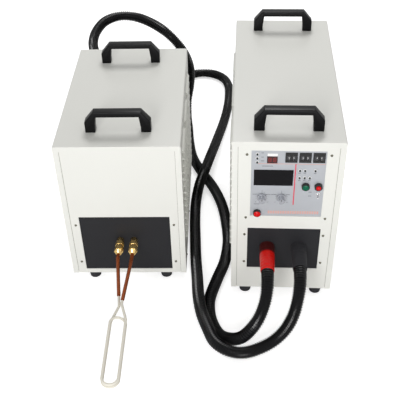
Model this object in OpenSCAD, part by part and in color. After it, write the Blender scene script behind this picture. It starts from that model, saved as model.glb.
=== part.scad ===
// Split induction heating machine: a power supply cabinet with its control panel,
// a heating station cabinet with a water-cooled work coil, and the two hoses between them.
// Millimetres, Z up. The origin is on the floor, in the middle of both cabinets and the coil.

/* [Power supply cabinet] */
// Width of the power supply cabinet
supply_w = 230; // [226:1:250]
// Depth of the power supply cabinet
supply_d = 542; // [530:1:600]
// Height of the power supply cabinet without its feet
supply_h = 412; // [400:1:450]

/* [Heating station cabinet] */
// Width of the heating station cabinet
station_w = 271; // [266:1:300]
// Depth of the heating station cabinet
station_d = 430; // [420:1:480]
// Height of the heating station cabinet without its feet
station_h = 368; // [350:1:400]

/* [Layout] */
// Distance between the centre lines of the two fronts
station_side = 358; // [350:1:400]
// How far the station's front stands behind the supply's front
station_back = 38; // [20:1:60]
// How far the station is turned anticlockwise, in degrees
station_turn = 2.1; // [0:0.1:4]

/* [Sheet metal] */
// Thickness of the cabinet sheets
sheet = 1.5; // [1.2:0.1:1.8]
// Outer radius of the folded top edges
fold_r = 3; // [2:0.5:4]
// Width of the flange folded round each cabinet end
flange_w = 12.5; // [10:0.5:14]
// How far a louvre stands out of the side
louvre_out = 5; // [4:0.5:6]
// Distance between two louvres in a column
louvre_pitch = 19; // [17:1:24]
// Length of one louvre
louvre_len = 92; // [70:1:100]

/* [Feet and handles] */
// Height of the rubber feet
foot_h = 20; // [16:1:24]
// Radius of a foot at the cabinet
foot_r = 15; // [13:0.5:17]
// Overall length of a handle
handle_len = 142; // [138:1:150]
// Height of a handle above the cabinet
handle_h = 50; // [46:1:56]
// Distance between a handle's two screws
handle_screw_pitch = 120; // [116:1:124]
// Depth of a handle, front to back
handle_d = 20; // [18:1:24]

/* [Control panel] */
// Width of the opening for the control plate
control_w = 152; // [150:1:156]
// Height of the opening for the control plate
control_h = 172; // [170:1:176]
// Width of the digital display window
display_w = 81; // [76:1:82]
// Height of the digital display window
display_h = 40; // [34:1:42]
// Width of one two-digit pushwheel block
block_w = 24.4; // [24:0.1:26]
// Height of a pushwheel block
block_h = 23.5; // [23:0.1:25]
// Outer radius of a push button's collar
collar_r = 8.3; // [8:0.1:9]
// How far a push button travels
button_travel = 2.5; // [1.5:0.1:3]
// Radius of a dial's skirt
dial_r = 10; // [8.5:0.1:11]
// Swing of the toggle lever from end to end, in degrees
toggle_swing = 24; // [18:1:28]

/* [Output plates] */
// Width of the supply's output opening
supply_out_w = 159; // [150:1:164]
// Height of the supply's output opening
supply_out_h = 120; // [110:1:126]
// Width of the station's output opening
station_out_w = 206; // [190:1:212]
// Height of the station's output opening
station_out_h = 162; // [150:1:164]
// Thickness of the insulating output plates
board_t = 6; // [4:0.5:8]

/* [Hoses] */
// Outer diameter of the corrugated hoses
hose_d = 28; // [24:1:30]
// Distance between the two hoses at the supply
hose_pitch = 70; // [66:1:76]
// Length of the rubber boot on each hose
boot_len = 70; // [60:1:75]

/* [Work coil] */
// Diameter of the copper leads
lead_d = 8; // [7:0.5:9]
// Diameter of the coil's copper tube
tube_d = 4.5; // [4:0.5:5.5]
// Wall of the glass-fibre sleeve on the coil
sleeve_t = 0.6; // [0.5:0.1:0.9]
// Distance between the two output fittings
fitting_pitch = 32; // [30:1:36]
// Distance between the centre lines of the coil's two legs
coil_w = 32; // [28:1:36]
// Length of the coil's straight legs
leg_len = 146; // [120:1:170]
// Distance between the two turns of the coil, one above the other
turn_pitch = 7.5; // [7.5:0.1:9]
// Across-flats size of the brass fittings
nut_af = 18; // [17:0.5:20]

/* [Fan and breaker] */
// Side of the square cooling fan
fan_size = 120; // [110:1:124]
// Swing of the breaker's lever from end to end, in degrees
breaker_swing = 50; // [40:1:56]

/* [Hidden] */
$fn = 48;

// Clearances: fixed piece in its hole, moving piece, pin in its bearing, and cut overrun
fit_gap = 0.2;
run_gap = 0.3;
pin_gap = 0.05;
over = 1;

// Where the layers of a cabinet's front lie, counted back from its front
panel_y = sheet;
plate_y = 2 * sheet;
supply_top = foot_h + supply_h;
station_top = foot_h + station_h;
floor_z = foot_h + sheet;

// Feet, inset of each foot's axis from the cabinet's sides
supply_foot_side = 33;
station_foot_side = 49;
foot_front = 18;
foot_taper = 2;
foot_stud_r = 3;
foot_nut_r = 6;
foot_nut_h = 5;

// Handles
supply_handle_inset = 49;
station_handle_inset = 63;
handle_leg_w = 22;
handle_grip_t = 12;
handle_shoulder_h = 26;
handle_shoulder_w = 20;
handle_flare = 3;
handle_screw_r = 2.5;
handle_screw_depth = 16;
screw_head_r = 4.5;
screw_head_h = 3;

// Cabinet screws
screw_r = 1.5;
pan_r = 3;
pan_h = 1.8;
screw_grip = 4;
lip_h = 20;
side_screw_shares = [0.12, 0.5, 0.88];

// Louvres: bottom row above the cabinet's base, gap kept below its top, columns along its depth
louvre_low = 70;
louvre_high = 46;
louvre_column_shares = [0.22, 0.5, 0.78];

// Control plate: centre of its opening, its screws and the plate's rim behind the panel
control_x = 1;
control_drop = 108;
control_z = supply_top - control_drop;
control_t = 2;
plate_rim = 8;
control_screw_side = 9;
control_screw_up = 76;
control_screw_down = 5;
control_half_w = control_w / 2 + control_screw_side;
control_low = control_h / 2 + control_screw_down;

// Controls, from the centre of the control opening
display_x = -29.5;
display_z = 17;
display_t = 1.2;
timer_x = -33.5;
timer_z = 62.5;
timer_w = 21;
timer_h = 17;
timer_out = 0.6;
timer_deep = 8;
lamp_r = 2.2;
lamp_flange_r = 2.9;
lamp_flange_t = 1.2;
lamp_pitch = 10.5;
lamp_row_x = 24;
lamp_row_high = 36.5;
lamp_row_low = 18;
lamp_column_x = -64;
lamp_column_z = 66.5;
lamp_column_pitch = 10;
lamp_high_slots = [0, 1, 3];
lamp_low_slots = [0, 1, 2];

// Pushwheel blocks and their wheels
block_pitch = 28;
block_x = 33;
block_z = 69;
block_out = 2;
block_wall = 0.9;
wheel_drop = 1.5;
wheel_rim_r = 9;
wheel_band_r = 7.8;
wheel_band_w = 5.4;
wheel_rim_w = 2.2;
wheel_rim_out = 1;
wheel_axle_r = 1.5;
wheel_axle_len = 0.8;
wheel_teeth = 10;
wheel_scallop_r = 1.6;
wheel_window_up = 6.5;
wheel_window_down = 3;
wheel_w = wheel_band_w + wheel_rim_w;
wheel_x = block_w / 4;
wheel_y = plate_y - block_out + wheel_rim_r - wheel_rim_out;
block_deep = 2 * wheel_rim_r - wheel_rim_out + run_gap + block_wall + block_out;

// Push buttons: place, cap radius and how far the cap stands out of the collar
button_z = -3.5;
start_x = 38;
stop_x = 64.5;
power_x = -61;
power_z = -77;
collar_out = 7;
barrel_wall = 0.5;
barrel_deep = 24;
start_cap_r = 6.6;
start_cap_out = 2;
stop_cap_r = 5.2;
stop_cap_out = 4;
power_cap_r = 7.2;
power_cap_out = 3;
cap_skirt = 3;
cap_dome = 1.5;
power_dome = 2.6;
stem_r = 2.5;
stem_len = 8;
button_nut_r = 11;
button_nut_t = 4;

// Dials
left_dial_x = -52;
right_dial_x = -11;
dial_z = -35;
dial_skirt_h = 2.5;
dial_grip_r = 6.5;
dial_grip_h = 12;
dial_flutes = 16;
dial_flute_r = 0.7;
dial_shaft_r = 3;
dial_mark_w = 1.2;
pot_r = 8.5;
pot_deep = 11;
pot_bush_r = 4.5;
pot_bush_out = 1.4;

// Toggle switch
toggle_x = 64.5;
toggle_z = -24;
toggle_body_w = 12;
toggle_body_deep = 18;
toggle_bush_r = 3.4;
toggle_bush_out = 3.5;
toggle_nut_r = 5;
toggle_nut_t = 1.8;
toggle_bore_r = 2.5;
toggle_ball_r = 2.1;
toggle_pivot_in = 1.6;
toggle_lever_r = 1.1;
toggle_tip_r = 1.6;
toggle_lever_len = 10;

// Output openings, their screws and the hoses' exits
supply_out_z = 143;
supply_out_screw_side = 6.5;
supply_out_screw_up = 41;
station_out_z = 113;
station_out_screw_side = 9;
station_out_screw_up = 57;
hose_z = 146;
boot_root_r = 17;
boot_tip_r = 15.4;
boot_root_h = 5;
boot_ribs = 6;
boot_rib_t = 2.4;
boot_rib_out = 0.5;

// Control board behind the controls
circuit_y = 36;
circuit_t = 1.6;
circuit_w = 104;
circuit_left = -84;
circuit_low = -60;
circuit_high = 84;
standoff_r = 3;
standoff_in = 4;
standoff_right_high = 47;
chip_w = 16;
chip_h = 3;

// Power electronics on the supply's floor
cold_w = 140;
cold_l = 280;
cold_t = 18;
cold_z = 60;
cold_x = -25;
cold_y = 230;
cold_leg_r = 6;
cold_leg_in = 12;
module_w = 62;
module_l = 106;
module_h = 30;
module_gap = 8;
terminal_r = 4;
terminal_h = 5;
can_r = 24;
can_h = 100;
can_pitch = 56;
can_count = 4;
can_x = 82;
can_y = 110;
can_post_r = 4;
can_post_h = 6;
choke_w = 70;
choke_l = 64;
choke_h = 62;
choke_x = -68;
choke_y = 420;
choke_leg = 14;
choke_coil_t = 9;

// Rear of the supply: fan, breaker, gland and water stubs
fan_d = 25;
fan_drop = 112;
fan_wall = 3;
fan_hub_r = 18;
fan_strut_w = 5;
fan_motor_d = 8;
fan_blades = 7;
fan_blade_t = 2;
fan_blade_tilt = 35;
fan_shaft_r = 3;
grille_bar = 4;
grille_step = 16;
breaker_x = -62;
breaker_z = 190;
breaker_w = 54;
breaker_h = 84;
breaker_deep = 62;
breaker_nose_h = 44;
breaker_nose_out = 4;
breaker_drum_r = 7;
breaker_paddle_t = 5;
breaker_paddle_out = 13;
breaker_lever_w = 44;
breaker_pin_r = 2;
breaker_pin_len = 3;
gland_x = -62;
gland_z = 75;
gland_r = 12;
gland_bore_r = 9;
gland_hex_t = 7;
gland_dome_h = 16;
gland_nut_r = 16;
gland_nut_t = 6;
pipe_left_x = 0;
pipe_right_x = 32;
pipe_r = 5;
pipe_neck_r = 4.5;
pipe_wall = 1.5;
pipe_out = 35;
pipe_nut_r = 10;
pipe_nut_t = 8;
pipe_seat = 10;

// Output fittings of the station, from the front of its output plate
fitting_x = 2;
fitting_z = 124;
bulk_r = 7;
bulk_flange_r = 12;
bulk_flange_t = 4;
bulk_tail = 16;
collar_t = 11;
jam_t = 12;
neck_len = 2;
flare_len = 16;
flare_cone_len = 8;
jam_end = collar_t + jam_t + neck_len;
bulk_len = jam_end + flare_len / 2;
nut_gap = 0.1;
lead_y = plate_y - jam_end - flare_len - flare_cone_len;

// Work coil: the leads run in to a neck and the hairpin turns hang from it
lead_straight = 12;
lead_slope = 143;
neck_gap = 6;
shoulder_len = 44;
coil_x = 6.5;
bare_left = 30;
bare_right = 12;
sleeve_start = 4;
cross_back = 8;
knot_out = 0.2;
tube_r = tube_d / 2;
sleeve_r = tube_r + nut_gap + sleeve_t;
coil_r = coil_w / 2;
neck_y = lead_y - lead_straight - lead_slope;
shoulder_y = neck_y - shoulder_len;
tip_y = shoulder_y - leg_len;
coil_reach = -tip_y + coil_r + sleeve_r;
high_z = fitting_z + turn_pitch / 2;
low_z = fitting_z - turn_pitch / 2;

// Output transformer, its primary windings and the single-turn busbar
core_w = 150;
core_h = 166;
core_leg = 34;
core_d = 50;
core_y = 96;
core_x = 2;
winding_t = 9;
winding_gap = 0.5;
winding_in = 12;
bar_w = 20;
bar_t = 4;
bar_clear = 6;
tank_w = 58;
tank_l = 44;
tank_h = 88;
tank_gap = 8;
tank_y = 215;
tank_rows = 3;
tank_post_r = 5;
tank_post_h = 7;

// Hose glands on the station's rear
outer_gland_x = 32.4;
outer_gland_z = 150;
inner_gland_x = -77;
inner_gland_z = 280;
hose_gland_r = 21;
hose_gland_out = 30;
hose_gland_hex_t = 9;
hose_gland_gap = 0.8;
hose_gland_nut_r = 23;
hose_gland_nut_t = 5;
hose_gland_in = 12;

// Layout of the two cabinets about the origin
left_reach = station_side + (station_w / 2 + louvre_out) * cos(station_turn)
  + station_d * sin(station_turn);
right_reach = supply_w / 2 + louvre_out;
supply_x = (left_reach - right_reach) / 2;
supply_y = (coil_reach - station_back - supply_d - pipe_out) / 2;
station_x = supply_x - station_side;
station_y = supply_y + station_back;

// Routes of the two hoses' centre lines, from the supply to the station's rear
outer_route = [
  [232, -90, 146], [232, -172, 146], [231, -205, 135], [226, -232, 117], [217, -254, 92],
  [201, -271, 67], [177, -286, 48], [146, -300, 38], [112, -310, 35], [80, -305, 36],
  [52, -284, 38], [36, -250, 39], [20, -205, 38], [9, -148, 32], [2, -80, 22],
  [-6, -5, 14], [-12, 70, 14], [-17, 142, 15], [-18, 205, 22], [-12, 260, 36],
  [0, 312, 45], [10, 370, 43], [21, 445, 33], [32, 522, 23], [43, 600, 15],
  [52, 675, 14], [56, 748, 14], [53, 818, 14], [36, 868, 14], [-2, 900, 14],
  [-52, 903, 14], [-95, 875, 14], [-113, 823, 14], [-121, 757, 18], [-136, 685, 40],
  [-149, 612, 74], [-153, 540, 112], [-150, 470, 140], [-146, 402, 150], [-144, 361, 150]];
inner_route = [
  [162, -90, 146], [162, -172, 146], [162, -207, 135], [158, -234, 117], [147, -258, 94],
  [131, -273, 72], [110, -279, 49], [88, -270, 31], [64, -252, 19], [47, -222, 14],
  [36, -185, 14], [34, -138, 14], [48, -76, 14], [65, -12, 14], [71, 60, 14],
  [64, 135, 14], [50, 208, 14], [24, 280, 14], [-12, 350, 14], [-40, 418, 14],
  [-54, 490, 14], [-62, 558, 18], [-68, 600, 39], [-68, 634, 74], [-61, 650, 118],
  [-59, 655, 165], [-69, 653, 210], [-92, 656, 251], [-130, 673, 283], [-178, 702, 299],
  [-225, 720, 307], [-272, 716, 310], [-309, 690, 306], [-329, 647, 295], [-331, 598, 286],
  [-317, 543, 282], [-290, 487, 280], [-263, 434, 280], [-255, 395, 280], [-254, 357, 280]];
hose_sides = 12;

// Placing helpers

module at_supply() translate([supply_x, supply_y, 0]) children();

module at_station() translate([station_x, station_y, 0]) rotate([0, 0, station_turn]) children();

// Draws a flat outline in the X-Z plane and gives it a depth along Y
module along_y(y, depth) translate([0, y + depth, 0]) rotate([90, 0, 0]) linear_extrude(depth) children();

// Turns a piece that is built upwards so that it points out of a front, along -Y
module facing_front(x, y, z) translate([x, y, z]) rotate([90, 0, 0]) children();

// The same for a rear, along +Y
module facing_rear(x, y, z) translate([x, y, z]) rotate([-90, 0, 0]) children();

module at_controls(x, z) facing_front(control_x + x, plate_y, control_z + z) children();

module hex(af, h) cylinder(r = af / sqrt(3), h = h, $fn = 6);

// Cabinet sheets

module arch(w, h, r) {
  translate([-w / 2, 0]) square([w, h - r]);
  translate([r - w / 2, 0]) square([w - 2 * r, h]);
  for (side = [-1, 1]) translate([side * (w / 2 - r), h - r]) circle(r);
}

function louvre_rows(h) = floor((h - louvre_low - louvre_high) / louvre_pitch);

// Puts one child at each louvre of both sides
module at_louvres(w, d, h) {
  for (side = [0, 1], share = louvre_column_shares, row = [0 : louvre_rows(h)])
    mirror([side, 0, 0])
      translate([w / 2, d * share - louvre_len / 2, foot_h + louvre_low + row * louvre_pitch])
        children();
}

module quarter(r, len) along_y(0, len) intersection() { circle(r); square(r); }

module cover(w, d, h, handle_inset) {
  difference() {
    union() {
      translate([0, 0, foot_h]) along_y(0, d) difference() {
        arch(w, h, fold_r);
        translate([0, -over]) arch(w - 2 * sheet, h - sheet + over, fold_r - sheet / 2);
      }
      for (y = [0, d - sheet]) translate([0, 0, foot_h]) along_y(y, sheet) difference() {
        arch(w, h, fold_r);
        translate([flange_w - w / 2, -over]) square([w - 2 * flange_w, h - flange_w + over]);
      }
      at_louvres(w, d, h) quarter(louvre_out, louvre_len);
    }
    at_louvres(w, d, h) translate([0, sheet, 0]) {
      quarter(louvre_out - sheet, louvre_len - 2 * sheet);
      translate([-2 * sheet, 0, 0]) cube([2 * sheet, louvre_len - 2 * sheet, louvre_out - sheet]);
    }
    at_side_screws(w, d) cylinder(r = screw_r + fit_gap, h = 4 * over + sheet, center = true);
    at_handle_screws(d, handle_inset, foot_h + h)
      translate([0, 0, -sheet - over]) cylinder(r = handle_screw_r + fit_gap, h = sheet + 2 * over);
  }
}

module at_side_screws(w, d) {
  for (side = [0, 1], share = side_screw_shares)
    mirror([side, 0, 0])
      translate([w / 2, d * share, floor_z + lip_h / 2]) rotate([0, 90, 0]) children();
}

module at_handle_screws(d, inset, top) {
  for (y = [inset, d - inset], x = [-handle_screw_pitch / 2, handle_screw_pitch / 2])
    translate([x, y, top]) children();
}

module at_feet(w, d, side) {
  for (x = [side - w / 2, w / 2 - side], y = [foot_front, d - foot_front])
    translate([x, y, 0]) children();
}

module base(w, d, foot_side) {
  difference() {
    union() {
      translate([sheet - w / 2, sheet, foot_h]) cube([w - 2 * sheet, d - 2 * sheet, sheet]);
      for (x = [sheet - w / 2, w / 2 - 2 * sheet])
        translate([x, 2 * sheet, foot_h]) cube([sheet, d - 4 * sheet, sheet + lip_h]);
    }
    at_feet(w, d, foot_side) translate([0, 0, foot_h - over])
      cylinder(r = foot_stud_r + fit_gap, h = sheet + 2 * over);
    at_side_screws(w, d)
      cylinder(r = screw_r + fit_gap, h = 4 * sheet + 2 * over, center = true);
  }
}

// End panel between the base and the cover's top
module end_panel(w, h, y) {
  translate([sheet - w / 2, y, floor_z]) cube([w - 2 * sheet, sheet, h - 2 * sheet]);
}

module opening(w, h, x, z) {
  translate([x - w / 2, -over, z - h / 2]) cube([w, plate_y + 2 * over, h]);
}

// One child at each screw of a plate behind a front: half width, heights above and below
module at_plate_screws(x, z, half_w, up, down) {
  for (dx = [-half_w, half_w], dz = [up, -down]) facing_front(x + dx, panel_y, z + dz) children();
}

module at_control_screws() {
  at_plate_screws(control_x, control_z, control_half_w, control_screw_up, control_low) children();
}

module at_supply_out_screws() {
  at_plate_screws(0, supply_out_z, supply_out_w / 2 + supply_out_screw_side,
    supply_out_screw_up, supply_out_screw_up) children();
}

module at_station_out_screws() {
  at_plate_screws(0, station_out_z, station_out_w / 2 + station_out_screw_side,
    station_out_screw_up, station_out_screw_up) children();
}

// Hole through a panel and the plate behind it, from the panel's front
module screw_hole() translate([0, 0, -board_t - sheet - over])
  cylinder(r = screw_r + fit_gap, h = board_t + sheet + 2 * over);

module cabinet_screw() {
  translate([0, 0, -sheet - screw_grip]) cylinder(r = screw_r, h = sheet + screw_grip);
  cylinder(r1 = pan_r, r2 = pan_r - pan_h / 2, h = pan_h);
}

module out_plate(w, h, z, side, up) {
  half = w / 2 + side + plate_rim;
  difference() {
    translate([-half, plate_y, z - h / 2 - plate_rim / 2])
      cube([2 * half, board_t, h + plate_rim]);
    at_plate_screws(0, z, w / 2 + side, up, up) screw_hole();
  }
}

// Power supply cabinet

module supply_base() color("gainsboro") at_supply() base(supply_w, supply_d, supply_foot_side);

module supply_cover() color("ivory") at_supply()
  cover(supply_w, supply_d, supply_h, supply_handle_inset);

module supply_front() color("ivory") at_supply() difference() {
  end_panel(supply_w, supply_h, panel_y);
  opening(control_w, control_h, control_x, control_z);
  opening(supply_out_w, supply_out_h, 0, supply_out_z);
  at_control_screws() screw_hole();
  at_supply_out_screws() screw_hole();
}

fan_z = supply_top - fan_drop;
rear_in = supply_d - 2 * sheet;
rear_out = supply_d - sheet;
fan_r = fan_size / 2 - fan_wall;

module grille_bars() {
  for (r = [fan_hub_r : grille_step : fan_r]) difference() {
    circle(r);
    circle(r - grille_bar);
  }
  for (a = [45, 135]) rotate(a) square([2 * fan_r, grille_bar], center = true);
}

module supply_rear() color("ivory") at_supply() difference() {
  end_panel(supply_w, supply_h, rear_in);
  translate([0, 0, fan_z]) along_y(rear_in - over, sheet + 2 * over) difference() {
    circle(fan_r);
    grille_bars();
  }
  translate([breaker_x - breaker_w / 2 - fit_gap, rear_in - over,
      breaker_z - breaker_nose_h / 2 - fit_gap])
    cube([breaker_w + 2 * fit_gap, sheet + 2 * over, breaker_nose_h + 2 * fit_gap]);
  facing_rear(gland_x, rear_in - over, gland_z)
    cylinder(r = gland_r + fit_gap, h = sheet + 2 * over);
  for (x = [pipe_left_x, pipe_right_x]) facing_rear(x, rear_in - over, cold_z + cold_t / 2)
    cylinder(r = pipe_neck_r + fit_gap, h = sheet + 2 * over);
}

module supply_output_plate() color("dimgray") at_supply() difference() {
  out_plate(supply_out_w, supply_out_h, supply_out_z, supply_out_screw_side, supply_out_screw_up);
  for (x = [-hose_pitch / 2, hose_pitch / 2]) facing_rear(x, plate_y - over, hose_z)
    cylinder(r = hose_d / 2 + run_gap, h = board_t + 2 * over);
}

// Controls

module control_cut(w, h) translate([-w / 2 - fit_gap, -h / 2 - fit_gap, -control_t - over])
  cube([w + 2 * fit_gap, h + 2 * fit_gap, control_t + 2 * over]);

module control_hole(r) translate([0, 0, -control_t - over])
  cylinder(r = r + fit_gap, h = control_t + 2 * over);

module at_lamps() {
  for (i = [-1 : 1]) at_controls(lamp_column_x, lamp_column_z + i * lamp_column_pitch) children();
  for (i = lamp_high_slots) at_controls(lamp_row_x + i * lamp_pitch, lamp_row_high) children();
  for (i = lamp_low_slots) at_controls(lamp_row_x + i * lamp_pitch, lamp_row_low) children();
}

module at_blocks() {
  for (i = [-1 : 1]) at_controls(block_x + i * block_pitch, block_z) children();
}

module at_standoffs() {
  left = circuit_left + standoff_in;
  right = circuit_left + circuit_w - standoff_in;
  for (p = [[left, circuit_low + standoff_in], [left, circuit_high - standoff_in],
      [right, circuit_low + standoff_in], [right, standoff_right_high]])
    at_controls(p[0], p[1]) children();
}

module control_plate() color("lightsteelblue") {
  low = control_low + plate_rim;
  high = control_h / 2 + plate_rim;
  at_supply() difference() {
    translate([control_x - control_half_w - plate_rim, plate_y, control_z - low])
      cube([2 * (control_half_w + plate_rim), control_t, low + high]);
    at_control_screws() screw_hole();
    at_controls(timer_x, timer_z) control_cut(timer_w, timer_h);
    at_blocks() control_cut(block_w, block_h);
    at_lamps() control_hole(lamp_r);
    for (x = [left_dial_x, right_dial_x]) at_controls(x, dial_z) control_hole(pot_bush_r);
    for (x = [start_x, stop_x]) at_controls(x, button_z) control_hole(collar_r - barrel_wall);
    at_controls(power_x, power_z) control_hole(collar_r - barrel_wall);
    at_controls(toggle_x, toggle_z) control_hole(toggle_bush_r);
  }
}

module display_window() color("black") at_supply() at_controls(display_x, display_z)
  translate([-display_w / 2, -display_h / 2, 0]) cube([display_w, display_h, display_t]);

module timer_display() color("darkred") at_supply() at_controls(timer_x, timer_z)
  translate([-timer_w / 2, -timer_h / 2, -timer_deep]) cube([timer_w, timer_h, timer_deep + timer_out]);

module indicator_lamps() color("darkslategray") at_supply() at_lamps() {
  translate([0, 0, -control_t - lamp_flange_t]) cylinder(r = lamp_flange_r, h = lamp_flange_t);
  translate([0, 0, -control_t]) cylinder(r = lamp_r, h = control_t + lamp_r);
  translate([0, 0, lamp_r]) sphere(r = lamp_r);
}

module pushwheel_housings() color("black") at_supply() at_blocks() difference() {
  translate([-block_w / 2, -block_h / 2, block_out - block_deep]) cube([block_w, block_h, block_deep]);
  for (side = [-1, 1]) translate([side * wheel_x, -wheel_drop, plate_y - wheel_y]) {
    rotate([0, 90, 0]) {
      cylinder(r = wheel_rim_r + run_gap, h = wheel_w + 2 * run_gap, center = true);
      cylinder(r = wheel_axle_r + pin_gap, h = wheel_w + 2 * (wheel_axle_len + run_gap), center = true);
    }
    translate([-wheel_w / 2 - run_gap, -wheel_window_down, 0])
      cube([wheel_w + 2 * run_gap, wheel_window_down + wheel_window_up, wheel_rim_r + over]);
  }
}

// One digit wheel: a band that carries the digits beside a scalloped rim
module digit_wheel(i) color("dimgray") at_supply() {
  block = floor((i - 1) / 2) - 1;
  side = i % 2 == 1 ? -1 : 1;
  at_controls(block_x + block * block_pitch + side * wheel_x, block_z - wheel_drop)
    translate([0, 0, plate_y - wheel_y]) rotate([0, side * 90, 0]) {
      translate([0, 0, -wheel_w / 2]) cylinder(r = wheel_band_r, h = wheel_band_w);
      translate([0, 0, wheel_w / 2 - wheel_rim_w]) linear_extrude(wheel_rim_w) difference() {
        circle(wheel_rim_r);
        for (a = [0 : wheel_teeth - 1]) rotate(360 * (a + 0.5) / wheel_teeth)
          translate([wheel_rim_r + wheel_scallop_r / 2, 0]) circle(wheel_scallop_r);
      }
      cylinder(r = wheel_axle_r, h = wheel_w + 2 * wheel_axle_len, center = true);
    }
}

module pushwheel_1() digit_wheel(1);
module pushwheel_2() digit_wheel(2);
module pushwheel_3() digit_wheel(3);
module pushwheel_4() digit_wheel(4);
module pushwheel_5() digit_wheel(5);
module pushwheel_6() digit_wheel(6);

// Knob with its shaft, which turns in the potentiometer behind the plate
module dial(x) color("silver") at_supply() at_controls(x, dial_z) {
  grip_z = pot_bush_out + run_gap + dial_skirt_h;
  translate([0, 0, pot_bush_out + run_gap]) cylinder(r = dial_r, h = dial_skirt_h);
  translate([0, 0, grip_z]) linear_extrude(dial_grip_h) difference() {
    circle(dial_grip_r);
    for (a = [1 : dial_flutes - 1]) rotate(90 + 360 * a / dial_flutes)
      translate([dial_grip_r + dial_flute_r / 2, 0]) circle(dial_flute_r);
  }
  translate([-dial_mark_w / 2, dial_grip_r - over, grip_z])
    cube([dial_mark_w, dial_r - dial_grip_r, dial_mark_w]);
  translate([0, 0, -control_t - pot_deep + run_gap])
    cylinder(r = dial_shaft_r, h = control_t + pot_deep + pot_bush_out + over);
}

module left_dial() dial(left_dial_x);
module right_dial() dial(right_dial_x);

module dial_potentiometers() color("dimgray") at_supply() for (x = [left_dial_x, right_dial_x])
  at_controls(x, dial_z) difference() {
    union() {
      translate([0, 0, -control_t - pot_deep]) cylinder(r = pot_r, h = pot_deep);
      translate([0, 0, -control_t]) cylinder(r = pot_bush_r, h = control_t + pot_bush_out);
    }
    translate([0, 0, -control_t - pot_deep + pin_gap])
      cylinder(r = dial_shaft_r + pin_gap, h = control_t + pot_deep + pot_bush_out + over);
  }

// Cap of a push button: skirt in the collar, domed face and a stem behind
module button_cap(cap_r, cap_out, dome) {
  face = collar_out + cap_out - dome;
  translate([0, 0, collar_out - cap_skirt]) cylinder(r = cap_r, h = cap_skirt + cap_out - dome);
  ball_r = (cap_r * cap_r + dome * dome) / (2 * dome);
  intersection() {
    translate([0, 0, face + dome - ball_r]) sphere(r = ball_r, $fn = 96);
    translate([0, 0, face - over]) cylinder(r = cap_r, h = dome + 2 * over);
  }
  translate([0, 0, collar_out - cap_skirt - stem_len]) cylinder(r = stem_r, h = stem_len + over);
}

module start_button() color("seagreen") at_supply() at_controls(start_x, button_z)
  button_cap(start_cap_r, start_cap_out, cap_dome);

module stop_button() color("red") at_supply() at_controls(stop_x, button_z)
  button_cap(stop_cap_r, stop_cap_out, power_dome);

module power_button() color("red") at_supply() at_controls(power_x, power_z)
  button_cap(power_cap_r, power_cap_out, power_dome);

// Collar, threaded barrel, nut and contact block of a push button
module button_body(cap_r) difference() {
  bore_deep = cap_skirt + button_travel + run_gap;
  union() {
    cylinder(r = collar_r, h = collar_out);
    translate([0, 0, -control_t - barrel_deep])
      cylinder(r = collar_r - barrel_wall, h = control_t + barrel_deep + over);
    translate([0, 0, -control_t - button_nut_t]) cylinder(r = button_nut_r, h = button_nut_t);
  }
  translate([0, 0, collar_out - bore_deep]) cylinder(r = cap_r + run_gap, h = bore_deep + over);
  translate([0, 0, collar_out - bore_deep - stem_len])
    cylinder(r = stem_r + run_gap, h = stem_len + bore_deep);
}

module button_bodies() color("black") at_supply() {
  at_controls(start_x, button_z) button_body(start_cap_r);
  at_controls(stop_x, button_z) button_body(stop_cap_r);
  at_controls(power_x, power_z) button_body(power_cap_r);
}

module toggle_switch() color("silver") at_supply() at_controls(toggle_x, toggle_z) difference() {
  union() {
    translate([-toggle_body_w / 2, -toggle_body_w / 2, -control_t - toggle_body_deep])
      cube([toggle_body_w, toggle_body_w, toggle_body_deep]);
    translate([0, 0, -control_t]) cylinder(r = toggle_bush_r, h = control_t + toggle_bush_out);
    hex(2 * toggle_nut_r, toggle_nut_t);
  }
  translate([0, 0, toggle_bush_out - toggle_pivot_in - toggle_ball_r - run_gap])
    cylinder(r = toggle_bore_r, h = toggle_pivot_in + toggle_ball_r + run_gap + over);
}

// Lever at its lower stop, swinging about the centre of its ball
module toggle_lever() color("silver") at_supply() at_controls(toggle_x, toggle_z)
  translate([0, 0, toggle_bush_out - toggle_pivot_in]) rotate([toggle_swing / 2, 0, 0]) {
    sphere(r = toggle_ball_r);
    cylinder(r1 = toggle_lever_r, r2 = toggle_tip_r, h = toggle_lever_len);
    translate([0, 0, toggle_lever_len]) sphere(r = toggle_tip_r);
  }

// Boots and hoses

module boot(x) at_supply() facing_front(x, plate_y, hose_z) rotate_extrude() {
  bore_r = hose_d / 2 + run_gap;
  polygon([[bore_r, 0], [boot_root_r, 0], [boot_root_r, boot_root_h], [boot_tip_r, boot_len],
    [bore_r, boot_len]]);
  for (i = [1 : boot_ribs]) translate([bore_r, boot_root_h + i * (boot_len - boot_root_h) / (boot_ribs + 1)])
    square([boot_root_r - i * (boot_root_r - boot_tip_r) / boot_ribs + boot_rib_out - bore_r, boot_rib_t]);
}

module red_boot() color("red") boot(-hose_pitch / 2);
module black_boot() color("dimgray") boot(hose_pitch / 2);

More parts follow.
